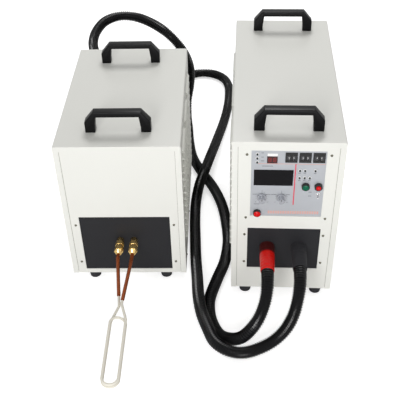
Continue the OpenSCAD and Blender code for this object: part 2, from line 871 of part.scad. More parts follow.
function unit(v) = v / norm(v);
function heading(pts, i) = unit(pts[min(i + 1, len(pts) - 1)] - pts[max(i - 1, 0)]);
function across(v, t) = unit(v - (v * t) * t);
function carried(pts) = [for (i = 0, n = across([0, 0, 1], heading(pts, 0)); i < len(pts);
  i = i + 1, n = i < len(pts) ? across(n, heading(pts, i)) : n) n];
function ring_points(pts, r, s) = let (side = carried(pts)) [
  for (i = [0 : len(pts) - 1], j = [0 : s - 1])
    let (t = heading(pts, i), n = side[i], b = cross(t, n), a = 360 * j / s)
      pts[i] + r * (cos(a) * n + sin(a) * b)];
function ring_faces(n, s) = concat(
  [[for (j = [0 : s - 1]) j]],
  [for (i = [0 : n - 2], j = [0 : s - 1]) [i * s + j, (i + 1) * s + j, (i + 1) * s + (j + 1) % s]],
  [for (i = [0 : n - 2], j = [0 : s - 1]) [i * s + j, (i + 1) * s + (j + 1) % s, i * s + (j + 1) % s]],
  [[for (j = [s - 1 : -1 : 0]) (n - 1) * s + j]]);

module hose(route) color("darkslategray")
  polyhedron(points = ring_points(route, hose_d / 2, hose_sides), faces = ring_faces(len(route), hose_sides));

module inner_hose() hose(inner_route);
module outer_hose() hose(outer_route);

// Electronics inside the supply

module control_board() color("darkgreen") at_supply() difference() {
  union() {
    translate([control_x + circuit_left, circuit_y, control_z + circuit_low])
      cube([circuit_w, circuit_t, circuit_high - circuit_low]);
    for (i = [0 : 2], j = [0 : 1])
      translate([control_x + circuit_left + (i + 1) * circuit_w / 5, circuit_y + circuit_t,
          control_z + j * 2 * chip_w])
        cube([chip_w, chip_h, chip_w]);
  }
  at_standoffs() translate([0, 0, plate_y - circuit_y - circuit_t - over])
    cylinder(r = screw_r + fit_gap, h = circuit_t + 2 * over);
}

module board_standoffs() color("goldenrod") at_supply() at_standoffs() {
  translate([0, 0, plate_y - circuit_y]) cylinder(r = standoff_r, h = circuit_y - plate_y - control_t);
  translate([0, 0, plate_y - circuit_y - circuit_t]) cylinder(r = screw_r, h = circuit_t + over);
}

module at_pipes() {
  for (x = [pipe_left_x, pipe_right_x]) facing_rear(x, cold_y + cold_l / 2 - pipe_seat, cold_z + cold_t / 2)
    children();
}

module cooling_plate() color("silver") at_supply() difference() {
  union() {
    translate([cold_x - cold_w / 2, cold_y - cold_l / 2, cold_z]) cube([cold_w, cold_l, cold_t]);
    for (dx = [-1, 1], dy = [-1, 1])
      translate([cold_x + dx * (cold_w / 2 - cold_leg_in), cold_y + dy * (cold_l / 2 - cold_leg_in), floor_z])
        cylinder(r = cold_leg_r, h = cold_z - floor_z + over);
  }
  at_pipes() cylinder(r = pipe_neck_r + fit_gap, h = pipe_seat + over);
}

// Two inverter modules in line and the rectifier beside them, with round screw terminals
module power_modules() color("gray") at_supply() {
  for (i = [-1, 1]) translate([cold_x - cold_w / 4, cold_y + i * (module_l + module_gap) / 2, cold_z + cold_t])
    power_block(module_w, module_l);
  translate([cold_x + cold_w / 4, cold_y, cold_z + cold_t]) power_block(module_w / 2, module_l);
}

module power_block(w, l) {
  translate([-w / 2, -l / 2, 0]) cube([w, l, module_h]);
  for (i = [-1 : 1]) translate([0, i * l / 3, module_h]) cylinder(r = terminal_r, h = terminal_h);
}

module filter_capacitors() color("steelblue") at_supply() for (i = [0 : can_count - 1])
  translate([can_x, can_y + i * can_pitch, floor_z]) {
    cylinder(r = can_r, h = can_h);
    for (dx = [-1, 1]) translate([dx * can_r / 2, 0, can_h]) cylinder(r = can_post_r, h = can_post_h);
  }

// Laminated frame with a coil round its middle leg
module smoothing_choke() color("peru") at_supply() translate([choke_x, choke_y, floor_z]) {
  difference() {
    translate([-choke_w / 2, -choke_l / 2, 0]) cube([choke_w, choke_l, choke_h]);
    for (side = [-1, 1])
      translate([side * choke_w / 4 - (choke_w / 4 - choke_leg / 2 - choke_coil_t / 4) / 2,
          -choke_l / 2 - over, choke_leg])
        cube([choke_w / 4 - choke_leg / 2 - choke_coil_t / 4, choke_l + 2 * over, choke_h - 2 * choke_leg]);
  }
  for (y = [-choke_l / 2 - choke_coil_t, choke_l / 2])
    translate([-choke_w / 3, y, choke_leg]) cube([2 * choke_w / 3, choke_coil_t, choke_h - 2 * choke_leg]);
}

// Rear of the supply

breaker_y = rear_out + breaker_nose_out - breaker_drum_r;

module main_breaker() color("whitesmoke") at_supply() difference() {
  union() {
    translate([breaker_x - breaker_w / 2, rear_in - breaker_deep, breaker_z - breaker_h / 2])
      cube([breaker_w, breaker_deep, breaker_h]);
    translate([breaker_x - breaker_w / 2, rear_in - over, breaker_z - breaker_nose_h / 2])
      cube([breaker_w, over + sheet + breaker_nose_out, breaker_nose_h]);
  }
  translate([breaker_x, breaker_y, breaker_z]) {
    rotate([0, 90, 0]) {
      cylinder(r = breaker_drum_r + run_gap, h = breaker_lever_w + 2 * run_gap, center = true);
      cylinder(r = breaker_pin_r + pin_gap, h = breaker_lever_w + 2 * breaker_pin_len, center = true);
    }
    translate([-breaker_lever_w / 2 - run_gap, 0, -breaker_drum_r - run_gap])
      cube([breaker_lever_w + 2 * run_gap, breaker_drum_r + over, 2 * (breaker_drum_r + run_gap)]);
  }
}

// Lever at its lower stop, turning on its pin across the breaker's nose
module breaker_lever() color("dimgray") at_supply() translate([breaker_x, breaker_y, breaker_z])
  rotate([-breaker_swing / 2, 0, 0]) {
    rotate([0, 90, 0]) {
      cylinder(r = breaker_drum_r, h = breaker_lever_w, center = true);
      cylinder(r = breaker_pin_r, h = breaker_lever_w + 2 * (breaker_pin_len - run_gap), center = true);
    }
    translate([-breaker_lever_w / 2, 0, -breaker_paddle_t / 2])
      cube([breaker_lever_w, breaker_drum_r + breaker_paddle_out, breaker_paddle_t]);
  }

fan_y = rear_in - fan_d;

module fan_frame() color("black") at_supply() translate([0, fan_y, fan_z]) rotate([-90, 0, 0])
  difference() {
    union() {
      difference() {
        translate([-fan_size / 2, -fan_size / 2, 0]) cube([fan_size, fan_size, fan_d]);
        translate([0, 0, -over]) cylinder(r = fan_r, h = fan_d + 2 * over);
      }
      cylinder(r = fan_hub_r, h = fan_motor_d);
      for (a = [0, 90]) rotate(a)
        translate([-fan_r - fan_wall / 2, -fan_strut_w / 2, 0])
          cube([2 * fan_r + fan_wall, fan_strut_w, fan_strut_w]);
    }
    translate([0, 0, over]) cylinder(r = fan_shaft_r + pin_gap, h = fan_d);
  }

// Hub with tilted blades and the shaft that runs in the motor's bearing
module fan_rotor() color("dimgray") at_supply() translate([0, fan_y, fan_z]) rotate([-90, 0, 0]) {
  blade_h = fan_d - fan_motor_d - 3 * over;
  translate([0, 0, fan_motor_d + over]) {
    cylinder(r = fan_hub_r, h = blade_h);
    intersection() {
      cylinder(r = fan_r - over, h = blade_h);
      for (i = [0 : fan_blades - 1]) rotate(360 * i / fan_blades) translate([fan_r / 2, 0, blade_h / 2])
        rotate([90 - fan_blade_tilt, 0, 0]) cube([fan_r, 2 * fan_d, fan_blade_t], center = true);
    }
  }
  translate([0, 0, over + pin_gap]) cylinder(r = fan_shaft_r, h = fan_motor_d + over);
}

module mains_gland() color("black") at_supply() facing_rear(gland_x, rear_in, gland_z) difference() {
  union() {
    translate([0, 0, -gland_nut_t]) hex(2 * gland_nut_r, gland_nut_t);
    cylinder(r = gland_r, h = sheet + gland_hex_t);
    translate([0, 0, sheet]) hex(2 * gland_nut_r, gland_hex_t);
    translate([0, 0, sheet + gland_hex_t]) cylinder(r1 = gland_nut_r - over, r2 = gland_r, h = gland_dome_h);
  }
  translate([0, 0, -gland_nut_t - over])
    cylinder(r = gland_bore_r, h = gland_nut_t + sheet + gland_hex_t + gland_dome_h + 2 * over);
}

// Two water stubs from the cooling plate out through the rear, thicker where a hose is pushed on
module water_fittings() color("goldenrod") at_supply() at_pipes() difference() {
  reach = rear_out - (cold_y + cold_l / 2 - pipe_seat);
  tip = reach + sheet + pipe_out;
  union() {
    cylinder(r = pipe_neck_r, h = tip - over);
    translate([0, 0, reach + pipe_nut_t - over]) cylinder(r = pipe_r, h = tip - reach - pipe_nut_t + over);
    for (z = [reach - sheet - pipe_nut_t, reach]) translate([0, 0, z]) hex(2 * pipe_nut_r, pipe_nut_t);
  }
  translate([0, 0, -over]) cylinder(r = pipe_r - pipe_wall, h = tip + 2 * over);
}

// Handles, feet and screws of both cabinets

module handle() along_y(-handle_d / 2, handle_d) difference() {
  half = handle_len / 2;
  polygon([[-half, 0], [half, 0], [half, handle_shoulder_h], [half - handle_shoulder_w, handle_h],
    [handle_shoulder_w - half, handle_h], [-half, handle_shoulder_h]]);
  inner = half - handle_leg_w;
  polygon([[-inner, -over], [inner, -over], [inner, handle_shoulder_h / 2],
    [inner - handle_flare, handle_h - handle_grip_t], [handle_flare - inner, handle_h - handle_grip_t],
    [-inner, handle_shoulder_h / 2]]);
}

module handle_pair(d, inset, top) difference() {
  for (y = [inset, d - inset]) translate([0, y, top]) handle();
  at_handle_screws(d, inset, top) translate([0, 0, -over])
    cylinder(r = handle_screw_r + pin_gap, h = handle_screw_depth + over + run_gap);
}

module supply_handles() color("black") at_supply()
  handle_pair(supply_d, supply_handle_inset, supply_top);

module station_handles() color("black") at_station()
  handle_pair(station_d, station_handle_inset, station_top);

module handle_screw() translate([0, 0, -sheet]) {
  cylinder(r = handle_screw_r, h = sheet + handle_screw_depth);
  translate([0, 0, -screw_head_h]) cylinder(r = screw_head_r, h = screw_head_h);
}

module handle_screws() color("silver") {
  at_supply() at_handle_screws(supply_d, supply_handle_inset, supply_top) handle_screw();
  at_station() at_handle_screws(station_d, station_handle_inset, station_top) handle_screw();
}

// Rubber foot with its stud and nut through the base
module foot() {
  cylinder(r1 = foot_r - foot_taper, r2 = foot_r, h = foot_h);
  cylinder(r = foot_stud_r, h = foot_h + sheet + foot_nut_h);
  translate([0, 0, foot_h + sheet]) hex(2 * foot_nut_r, foot_nut_h);
}

module cabinet_feet() color("black") {
  at_supply() at_feet(supply_w, supply_d, supply_foot_side) foot();
  at_station() at_feet(station_w, station_d, station_foot_side) foot();
}

module cabinet_screws() color("silver") {
  at_supply() {
    at_control_screws() cabinet_screw();
    at_supply_out_screws() cabinet_screw();
    at_side_screws(supply_w, supply_d) cabinet_screw();
  }
  at_station() {
    at_station_out_screws() cabinet_screw();
    at_side_screws(station_w, station_d) cabinet_screw();
  }
}

// Heating station cabinet

module station_base() color("gainsboro") at_station() base(station_w, station_d, station_foot_side);

module station_cover() color("ivory") at_station()
  cover(station_w, station_d, station_h, station_handle_inset);

module station_front() color("ivory") at_station() difference() {
  end_panel(station_w, station_h, panel_y);
  opening(station_out_w, station_out_h, 0, station_out_z);
  at_station_out_screws() screw_hole();
}

station_rear_in = station_d - 2 * sheet;

module station_rear() color("ivory") at_station() difference() {
  end_panel(station_w, station_h, station_rear_in);
  at_hose_glands() translate([0, 0, -over])
    cylinder(r = hose_gland_r - hose_gland_nut_t / 2 + fit_gap, h = sheet + 2 * over);
}

module at_hose_glands() {
  facing_rear(outer_gland_x, station_rear_in, outer_gland_z) children();
  facing_rear(inner_gland_x, station_rear_in, inner_gland_z) children();
}

// Each hose enters the mouth of its gland and stops inside it
module station_glands() color("black") at_station() at_hose_glands() difference() {
  bore_r = hose_d / 2 + hose_gland_gap;
  union() {
    translate([0, 0, -hose_gland_nut_t]) hex(2 * hose_gland_nut_r, hose_gland_nut_t);
    translate([0, 0, -hose_gland_in]) cylinder(r = hose_gland_r - hose_gland_nut_t / 2,
      h = hose_gland_in + sheet + over);
    translate([0, 0, sheet]) hex(2 * hose_gland_nut_r, hose_gland_hex_t);
    translate([0, 0, sheet + hose_gland_hex_t])
      cylinder(r1 = hose_gland_r, r2 = bore_r + sheet, h = hose_gland_out - hose_gland_hex_t);
  }
  translate([0, 0, -hose_gland_in - over])
    cylinder(r = bore_r, h = hose_gland_in + sheet + hose_gland_out + 2 * over);
}

module at_fittings() {
  for (side = [-1, 1]) facing_front(fitting_x + side * fitting_pitch / 2, plate_y, fitting_z) children();
}

module station_output_plate() color("dimgray") at_station() difference() {
  out_plate(station_out_w, station_out_h, station_out_z, station_out_screw_side, station_out_screw_up);
  at_fittings() translate([0, 0, -board_t - over]) cylinder(r = bulk_r + fit_gap, h = board_t + 2 * over);
}

// Bulkhead body through the plate, flange behind, collar and nut in front, busbar tail inside
module output_fittings() color("goldenrod") at_station() at_fittings() difference() {
  union() {
    translate([0, 0, -board_t - bulk_tail]) cylinder(r = bulk_r, h = board_t + bulk_tail + bulk_len);
    translate([0, 0, -board_t - bulk_flange_t]) cylinder(r = bulk_flange_r, h = bulk_flange_t);
    cylinder(r = nut_af / 2 - sheet / 2, h = collar_t + over);
    translate([0, 0, collar_t]) hex(nut_af, jam_t);
  }
  translate([0, 0, collar_t]) cylinder(r = tube_r, h = bulk_len);
}

module flare_nuts() color("goldenrod") at_station() at_fittings()
  translate([0, 0, jam_end]) difference() {
    union() {
      hex(nut_af, flare_len);
      translate([0, 0, flare_len]) cylinder(r1 = nut_af / 2, r2 = lead_d / 2 + sheet, h = flare_cone_len);
    }
    translate([0, 0, -over]) cylinder(r = bulk_r + nut_gap, h = flare_len / 2 + over + nut_gap);
    cylinder(r = lead_d / 2 + nut_gap, h = flare_len + flare_cone_len + over);
  }

// Straight round tube between two points, and the ball that rounds a joint of two of them
module rod(a, b, r) {
  v = b - a;
  translate(a) rotate([0, acos(v[2] / norm(v)), atan2(v[1], v[0])]) cylinder(r = r, h = norm(v));
}

module knot(at, r) translate(at) sphere(r = r + knot_out);

// Half ring of round tube in the X-Y plane, bulging to -Y
module half_ring(big_r, r) rotate([0, 0, 180]) rotate_extrude(angle = 180)
  translate([big_r, 0]) circle(r);

// Centre line of one side: in the fitting, end of the straight lead, neck and shoulder
function turn_z(side) = side > 0 ? high_z : low_z;
function lead_line(side) = [
  [fitting_x + side * fitting_pitch / 2, plate_y - bulk_len, fitting_z],
  [fitting_x + side * fitting_pitch / 2, lead_y - lead_straight, fitting_z],
  [coil_x + side * neck_gap / 2, neck_y, turn_z(side)],
  [coil_x + side * coil_r, shoulder_y, turn_z(side)]];
function part_way(a, b, y) = a + (b - a) * (y - a[1]) / (b[1] - a[1]);
function lead_cut(side, back) = part_way(lead_line(side)[1], lead_line(side)[2], neck_y + back);

// Both turns of the hairpin and the tilted half ring that joins them at the neck end
module hairpin(r) {
  cross_y = shoulder_y - cross_back;
  for (side = [-1, 1], turn = [-1, 1]) {
    x = coil_x + side * coil_r;
    top_y = side == turn ? shoulder_y : cross_y;
    rod([x, top_y, turn_z(turn)], [x, tip_y, turn_z(turn)], r);
    knot([x, top_y, turn_z(turn)], r);
  }
  for (turn = [-1, 1]) translate([coil_x, tip_y, turn_z(turn)]) half_ring(coil_r, r);
  translate([coil_x, cross_y, fitting_z]) rotate([0, atan2(turn_pitch / 2, coil_r), 0])
    rotate([0, 0, 180]) half_ring(norm([coil_r, turn_pitch / 2]), r);
}

module thin_lead(side, back, r) {
  line = lead_line(side);
  rod(lead_cut(side, back), line[2], r);
  knot(line[2], r);
  rod(line[2], line[3], r);
}

function bare(side) = side < 0 ? bare_left : bare_right;

// Copper tube: thick leads in the nuts, drawn down to the thin tube of the coil
module coil_tube() color("sienna") at_station() {
  for (side = [-1, 1]) {
    line = lead_line(side);
    rod(line[0], line[1], lead_d / 2);
    knot(line[1], lead_d / 2);
    rod(line[1], lead_cut(side, bare(side)), lead_d / 2);
    thin_lead(side, bare(side) + over, tube_r);
  }
  hairpin(tube_r);
}

module coil_sleeve() color("floralwhite") at_station() difference() {
  union() {
    for (side = [-1, 1]) thin_lead(side, bare(side) - sleeve_start, sleeve_r);
    hairpin(sleeve_r);
  }
  for (side = [-1, 1]) thin_lead(side, bare(side), tube_r + nut_gap);
  hairpin(tube_r + nut_gap);
}

// Station's electrical parts

module transformer_core() color("dimgray") at_station() difference() {
  translate([core_x - core_w / 2, core_y, floor_z]) cube([core_w, core_d, core_h]);
  translate([core_x - core_w / 2 + core_leg, core_y - over, floor_z + core_leg])
    cube([core_w - 2 * core_leg, core_d + 2 * over, core_h - 2 * core_leg]);
}

// A winding round each upright leg of the core
module transformer_winding() color("chocolate") at_station() for (side = [-1, 1])
  translate([core_x + side * (core_w - core_leg) / 2, core_y + core_d / 2, floor_z + core_leg + winding_in])
    difference() {
      winding_block(winding_t);
      translate([0, 0, -over]) scale([1, 1, 2]) winding_block(0);
    }

module winding_block(t) {
  w = core_leg / 2 + winding_gap + t;
  d = core_d / 2 + winding_gap + t;
  translate([-w, -d, 0]) cube([2 * w, 2 * d, core_h - 2 * core_leg - 2 * winding_in]);
}

// Single turn of bar through the core's window and back over its top, and the capacitors' bars
module busbars() color("peru") at_station() {
  left_x = fitting_x - fitting_pitch / 2;
  right_x = fitting_x + fitting_pitch / 2;
  tail_y = plate_y + board_t + bulk_tail;
  back_y = core_y + core_d + bar_clear;
  over_z = floor_z + core_h + bar_clear;
  bar_low = fitting_z - bar_w / 2;
  translate([left_x - bar_t / 2, tail_y, bar_low]) cube([bar_t, back_y + bar_t - tail_y, bar_w]);
  translate([left_x - bar_t / 2, back_y, bar_low])
    cube([right_x - left_x + bar_t, bar_t, over_z + bar_t - bar_low]);
  translate([right_x - bar_w / 2, tail_y, over_z]) cube([bar_w, back_y + bar_t - tail_y, bar_t]);
  translate([right_x - bar_w / 2, tail_y, bar_low]) cube([bar_w, bar_t, over_z + bar_t - bar_low]);
  for (side = [-1, 1]) translate([side * (tank_w + tank_gap) / 2 - bar_w / 2, tank_y - tank_l / 2,
      floor_z + tank_h + tank_post_h])
    cube([bar_w, tank_rows * tank_l + (tank_rows - 1) * tank_gap, bar_t]);
}

module resonant_capacitors() color("steelblue") at_station() for (side = [-1, 1], row = [0 : tank_rows - 1])
  translate([side * (tank_w + tank_gap) / 2, tank_y + row * (tank_l + tank_gap), floor_z]) {
    translate([-tank_w / 2, -tank_l / 2, 0]) cube([tank_w, tank_l, tank_h]);
    translate([0, 0, tank_h]) cylinder(r = tank_post_r, h = tank_post_h);
  }

supply_base();
supply_cover();
supply_front();
supply_rear();
supply_output_plate();
control_plate();
display_window();
timer_display();
indicator_lamps();
pushwheel_housings();
pushwheel_1();
pushwheel_2();
pushwheel_3();
pushwheel_4();
pushwheel_5();
pushwheel_6();
left_dial();
right_dial();
dial_potentiometers();
start_button();
stop_button();
power_button();
button_bodies();
toggle_switch();
toggle_lever();
red_boot();
black_boot();
inner_hose();
outer_hose();
control_board();
board_standoffs();
filter_capacitors();
cooling_plate();
power_modules();
smoothing_choke();
main_breaker();
breaker_lever();
fan_frame();
fan_rotor();
mains_gland();
water_fittings();
supply_handles();
station_base();
station_cover();
station_front();
station_rear();
station_output_plate();
output_fittings();
flare_nuts();
coil_tube();
coil_sleeve();
transformer_core();
transformer_winding();
resonant_capacitors();
busbars();
station_glands();
station_handles();
handle_screws();
cabinet_feet();
cabinet_screws();
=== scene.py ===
"""Looks of the split induction heating machine: finishes, hoses, printed panel and lights.

The solids come packed from the part's own source. This script dresses them, adds what is too
fine or too soft for the solids, and sets the camera at the photograph's view.
"""

import logging
import math
from dataclasses import dataclass
from enum import Enum
from functools import lru_cache

import bmesh
import bpy
from mathutils import Matrix, Vector


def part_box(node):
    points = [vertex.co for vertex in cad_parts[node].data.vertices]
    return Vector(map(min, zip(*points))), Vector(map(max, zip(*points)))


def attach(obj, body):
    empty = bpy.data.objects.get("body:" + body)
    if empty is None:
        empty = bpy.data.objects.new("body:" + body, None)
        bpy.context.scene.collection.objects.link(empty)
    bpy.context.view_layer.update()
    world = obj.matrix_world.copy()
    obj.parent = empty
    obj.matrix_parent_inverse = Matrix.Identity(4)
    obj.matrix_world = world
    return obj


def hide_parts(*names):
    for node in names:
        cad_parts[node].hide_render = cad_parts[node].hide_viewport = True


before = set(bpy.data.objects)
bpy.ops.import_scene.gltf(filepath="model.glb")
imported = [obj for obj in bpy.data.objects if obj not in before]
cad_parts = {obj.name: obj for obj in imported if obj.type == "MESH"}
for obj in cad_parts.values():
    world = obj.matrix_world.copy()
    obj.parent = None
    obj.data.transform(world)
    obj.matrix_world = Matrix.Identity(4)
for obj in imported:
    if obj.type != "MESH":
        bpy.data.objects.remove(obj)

logging.basicConfig(level=logging.INFO, format="%(levelname)s %(name)s: %(message)s")
log = logging.getLogger("machine")

MM = 0.001
BODY = "machine"
PHOTO_SIDE = 400
PUSHWHEELS = range(1, 7)
# Thickness of printed colour, in mm.
PRINT_T = 0.15

# Red, green and blue from 0 to 255.
Colour = tuple[int, int, int]
Point = tuple[float, float]
# Left, low, right and high edges.
Area = tuple[float, float, float, float]


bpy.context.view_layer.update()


class Grain(Enum):
    """Kind of fine relief on a surface: stretch of its pattern along X, Y and Z."""

    NONE = (0.0, 0.0, 0.0)
    PEEL = (1.0, 1.0, 1.0)
    # A hair off the value of PEEL, because an enum joins two names of equal value.
    MOULDED = (1.0, 1.0, 1.01)
    BRUSHED = (0.06, 1.0, 1.0)
    BRAID = (1.0, 0.5, 1.0)


def linear(colour: Colour) -> tuple[float, float, float, float]:
    """A screen colour as the linear colour that a shader takes, by the usual sRGB curve.

    Args:
        colour: red, green and blue, each from 0 to 255.

    Returns:
        Linear red, green, blue and an alpha of 1.
    """
    parts = [c / 255 for c in colour]
    return (*[p / 12.92 if p <= 0.04045 else ((p + 0.055) / 1.055) ** 2.4 for p in parts], 1.0)


def new_group(name: str, inputs: dict[str, tuple[str, float]],
              outputs: dict[str, str]) -> bpy.types.NodeTree:
    """Starts a shader node group with named sockets.

    Args:
        name: the group's name.
        inputs: socket type and default value for each input's name.
        outputs: socket type for each output's name.

    Returns:
        The group, with its input and output nodes in it.
    """
    group = bpy.data.node_groups.new(name, "ShaderNodeTree")
    for label, (kind, value) in inputs.items():
        socket = group.interface.new_socket(label, in_out="INPUT", socket_type=kind)
        if kind == "NodeSocketFloat":
            socket.default_value = value
    for label, kind in outputs.items():
        group.interface.new_socket(label, in_out="OUTPUT", socket_type=kind)
    group.nodes.new("NodeGroupInput").name = "in"
    group.nodes.new("NodeGroupOutput").name = "out"
    return group


@lru_cache(maxsize=None)
def patina_group() -> bpy.types.NodeTree:
    """Node group for slow changes of tone and gloss, as handling and dust leave them.

    Returns:
        The group, made once.
    """
    group = new_group(
        "patina",
        {
            "Vector": ("NodeSocketVector", 0.0),
            "Colour": ("NodeSocketColor", 0.0),
            "Rough": ("NodeSocketFloat", 0.5),
            "Tint": ("NodeSocketFloat", 0.05),
            "Dulling": ("NodeSocketFloat", 0.05),
            "Scale": ("NodeSocketFloat", 14.0),
        },
        {"Colour": "NodeSocketColor", "Rough": "NodeSocketFloat"},
    )
    nodes, links = group.nodes, group.links
    ins, outs = nodes["in"], nodes["out"]
    noise = nodes.new("ShaderNodeTexNoise")
    noise.inputs["Detail"].default_value = 4.0
    links.new(ins.outputs["Vector"], noise.inputs["Vector"])
    links.new(ins.outputs["Scale"], noise.inputs["Scale"])
    centred = nodes.new("ShaderNodeMath")
    centred.operation = "SUBTRACT"
    centred.inputs[1].default_value = 0.5
    links.new(noise.outputs["Fac"], centred.inputs[0])
    darker = nodes.new("ShaderNodeMath")
    darker.operation = "MULTIPLY_ADD"
    darker.inputs[2].default_value = 1.0
    links.new(centred.outputs[0], darker.inputs[0])
    links.new(ins.outputs["Tint"], darker.inputs[1])
    tinted = nodes.new("ShaderNodeVectorMath")
    tinted.operation = "SCALE"
    links.new(ins.outputs["Colour"], tinted.inputs[0])
    links.new(darker.outputs[0], tinted.inputs["Scale"])
    links.new(tinted.outputs[0], outs.inputs["Colour"])
    dulled = nodes.new("ShaderNodeMath")
    dulled.operation = "MULTIPLY_ADD"
    dulled.use_clamp = True
    links.new(centred.outputs[0], dulled.inputs[0])
    links.new(ins.outputs["Dulling"], dulled.inputs[1])
    links.new(ins.outputs["Rough"], dulled.inputs[2])
    links.new(dulled.outputs[0], outs.inputs["Rough"])
    return group


@lru_cache(maxsize=None)
def grain_group() -> bpy.types.NodeTree:
    """Node group for the height of a fine relief.

    Returns:
        The group, made once.
    """
    group = new_group(
        "grain",
        {"Vector": ("NodeSocketVector", 0.0), "Scale": ("NodeSocketFloat", 900.0)},
        {"Height": "NodeSocketFloat"},
    )
    noise = group.nodes.new("ShaderNodeTexNoise")
    noise.inputs["Detail"].default_value = 2.0
    group.links.new(group.nodes["in"].outputs["Vector"], noise.inputs["Vector"])
    group.links.new(group.nodes["in"].outputs["Scale"], noise.inputs["Scale"])
    group.links.new(noise.outputs["Fac"], group.nodes["out"].inputs["Height"])
    return group


@dataclass(frozen=True)
class Finish:
    """A surface finish of the machine, with its patina and its relief (depth in metres)."""

    name: str
    colour: Colour
    rough: float = 0.5
    metal: float = 0.0
    coat: float = 0.0
    specular: float = 0.5
    glow: float = 0.0
    tint: float = 0.06
    dulling: float = 0.08
    patch: float = 14.0
    grain: Grain = Grain.NONE
    grain_scale: float = 900.0
    grain_depth: float = 0.00003
    coat_rough: float = 0.12

    @property
    def material(self) -> bpy.types.Material:
        """The finish as a material, made once."""
        return bpy.data.materials.get(self.name) or self.build()

    def build(self) -> bpy.types.Material:
        """Makes the material with its shader, patina and relief.

        Returns:
            The new material.
        """
        material = bpy.data.materials.new(self.name)
        material.use_nodes = True
        tree = material.node_tree
        shader = tree.nodes["Principled BSDF"]
        shader.inputs["Metallic"].default_value = self.metal
        shader.inputs["Coat Weight"].default_value = self.coat
        shader.inputs["Coat Roughness"].default_value = self.coat_rough
        shader.inputs["Specular IOR Level"].default_value = self.specular
        if self.glow:
            shader.inputs["Emission Color"].default_value = linear(self.colour)
            shader.inputs["Emission Strength"].default_value = self.glow
        place = tree.nodes.new("ShaderNodeTexCoord")
        patina = tree.nodes.new("ShaderNodeGroup")
        patina.node_tree = patina_group()
        patina.inputs["Colour"].default_value = linear(self.colour)
        patina.inputs["Rough"].default_value = self.rough
        patina.inputs["Tint"].default_value = self.tint
        patina.inputs["Dulling"].default_value = self.dulling
        patina.inputs["Scale"].default_value = self.patch
        tree.links.new(place.outputs["Object"], patina.inputs["Vector"])
        tree.links.new(patina.outputs["Colour"], shader.inputs["Base Color"])
        tree.links.new(patina.outputs["Rough"], shader.inputs["Roughness"])
        if self.grain is not Grain.NONE:
            self.add_relief(tree, place, shader)
        return material

    def add_relief(self, tree: bpy.types.NodeTree, place: bpy.types.Node, shader: bpy.types.Node) -> None:
        """Adds the grain's bump to the shader.

        Args:
            tree: the material's node tree.
            place: its texture coordinate node.
            shader: its surface shader.
        """
        stretch = tree.nodes.new("ShaderNodeMapping")
        stretch.inputs["Scale"].default_value = self.grain.value
        relief = tree.nodes.new("ShaderNodeGroup")
        relief.node_tree = grain_group()
        relief.inputs["Scale"].default_value = self.grain_scale
        bump = tree.nodes.new("ShaderNodeBump")
        bump.inputs["Distance"].default_value = self.grain_depth
        tree.links.new(place.outputs["Object"], stretch.inputs["Vector"])
        tree.links.new(stretch.outputs["Vector"], relief.inputs["Vector"])
        tree.links.new(relief.outputs["Height"], bump.inputs["Height"])
        tree.links.new(bump.outputs["Normal"], shader.inputs["Normal"])


@dataclass(frozen=True)
class FadedFinish(Finish):
    """A finish that changes to a second colour along Y. On the red boot the dark part near the plate stands
    both for the boot over its dark fitting and for painted shade from the plate.
    """

    far_colour: Colour = (60, 20, 16)
    near_y: float = 0.0
    far_y: float = 0.1

    def build(self) -> bpy.types.Material:
        """Makes the material, with its colour mixed along Y.

        Returns:
            The new material.
        """
        material = super().build()
        tree = material.node_tree
        place = next(n for n in tree.nodes if n.type == "TEX_COORD")
        patina = next(n for n in tree.nodes if n.type == "GROUP" and n.node_tree == patina_group())
        parts = tree.nodes.new("ShaderNodeSeparateXYZ")
        along = tree.nodes.new("ShaderNodeMapRange")
        along.inputs["From Min"].default_value = self.near_y
        along.inputs["From Max"].default_value = self.far_y
        blend = tree.nodes.new("ShaderNodeMix")
        blend.data_type = "RGBA"
        # In this mode inputs 6 and 7 are the two colours, and output 2 is their blend.
        blend.inputs[6].default_value = linear(self.colour)
        blend.inputs[7].default_value = linear(self.far_colour)
        tree.links.new(place.outputs["Object"], parts.inputs[0])
        tree.links.new(parts.outputs["Y"], along.inputs["Value"])
        tree.links.new(along.outputs["Result"], blend.inputs[0])
        tree.links.new(blend.outputs[2], patina.inputs["Colour"])
        return material


IVORY = Finish("ivory_coat", (234, 234, 228), 0.3, tint=0.012, dulling=0.015, patch=5.0,
               grain=Grain.PEEL, grain_scale=700, grain_depth=0.00001)
PLATE_PRINT = Finish("control_plate_print", (190, 193, 198), 0.36, 0.3, tint=0.08, patch=25.0,
                     grain=Grain.BRUSHED)
PHENOLIC = Finish("phenolic", (38, 38, 41), 0.5, specular=0.22, tint=0.12,
                  grain=Grain.MOULDED, grain_scale=500)
BLACK_GLASS = Finish("display_glass", (9, 8, 12), 0.25, specular=0.2, tint=0.02, dulling=0.03)
# Black plastic parts, and also the painted shadow in the screw recesses.
BLACK_PLASTIC_AND_SHADOW = Finish("black_plastic", (7, 7, 9), 0.42, specular=0.08,
                       grain=Grain.MOULDED, grain_scale=1300)
DARK_PLASTIC = Finish("dark_plastic", (13, 13, 16), 0.5, specular=0.1,
                      grain=Grain.MOULDED, grain_scale=1300)
HANDLE_PLASTIC = Finish("handle_plastic", (8, 8, 10), 0.32, specular=0.18,
                        grain=Grain.MOULDED, grain_scale=1100)
SILVER_KNOB = Finish("silver_knob", (180, 182, 188), 0.24, 0.5, coat=0.3, grain=Grain.BRUSHED)
GREEN_CAP = Finish("green_cap", (0, 98, 70), 0.2, specular=0.25, tint=0.03)
RED_CAP = Finish("red_cap", (214, 4, 10), 0.2, specular=0.25, tint=0.03)
CHROME = Finish("plated_steel", (226, 226, 228), 0.2, 0.8, tint=0.05)
SCREW = Finish("passivated_screw", (142, 140, 124), 0.35, 0.8, tint=0.1)
LAMP_LENS = Finish("lamp_lens", (14, 14, 18), 0.08, coat=1.0, tint=0.02)
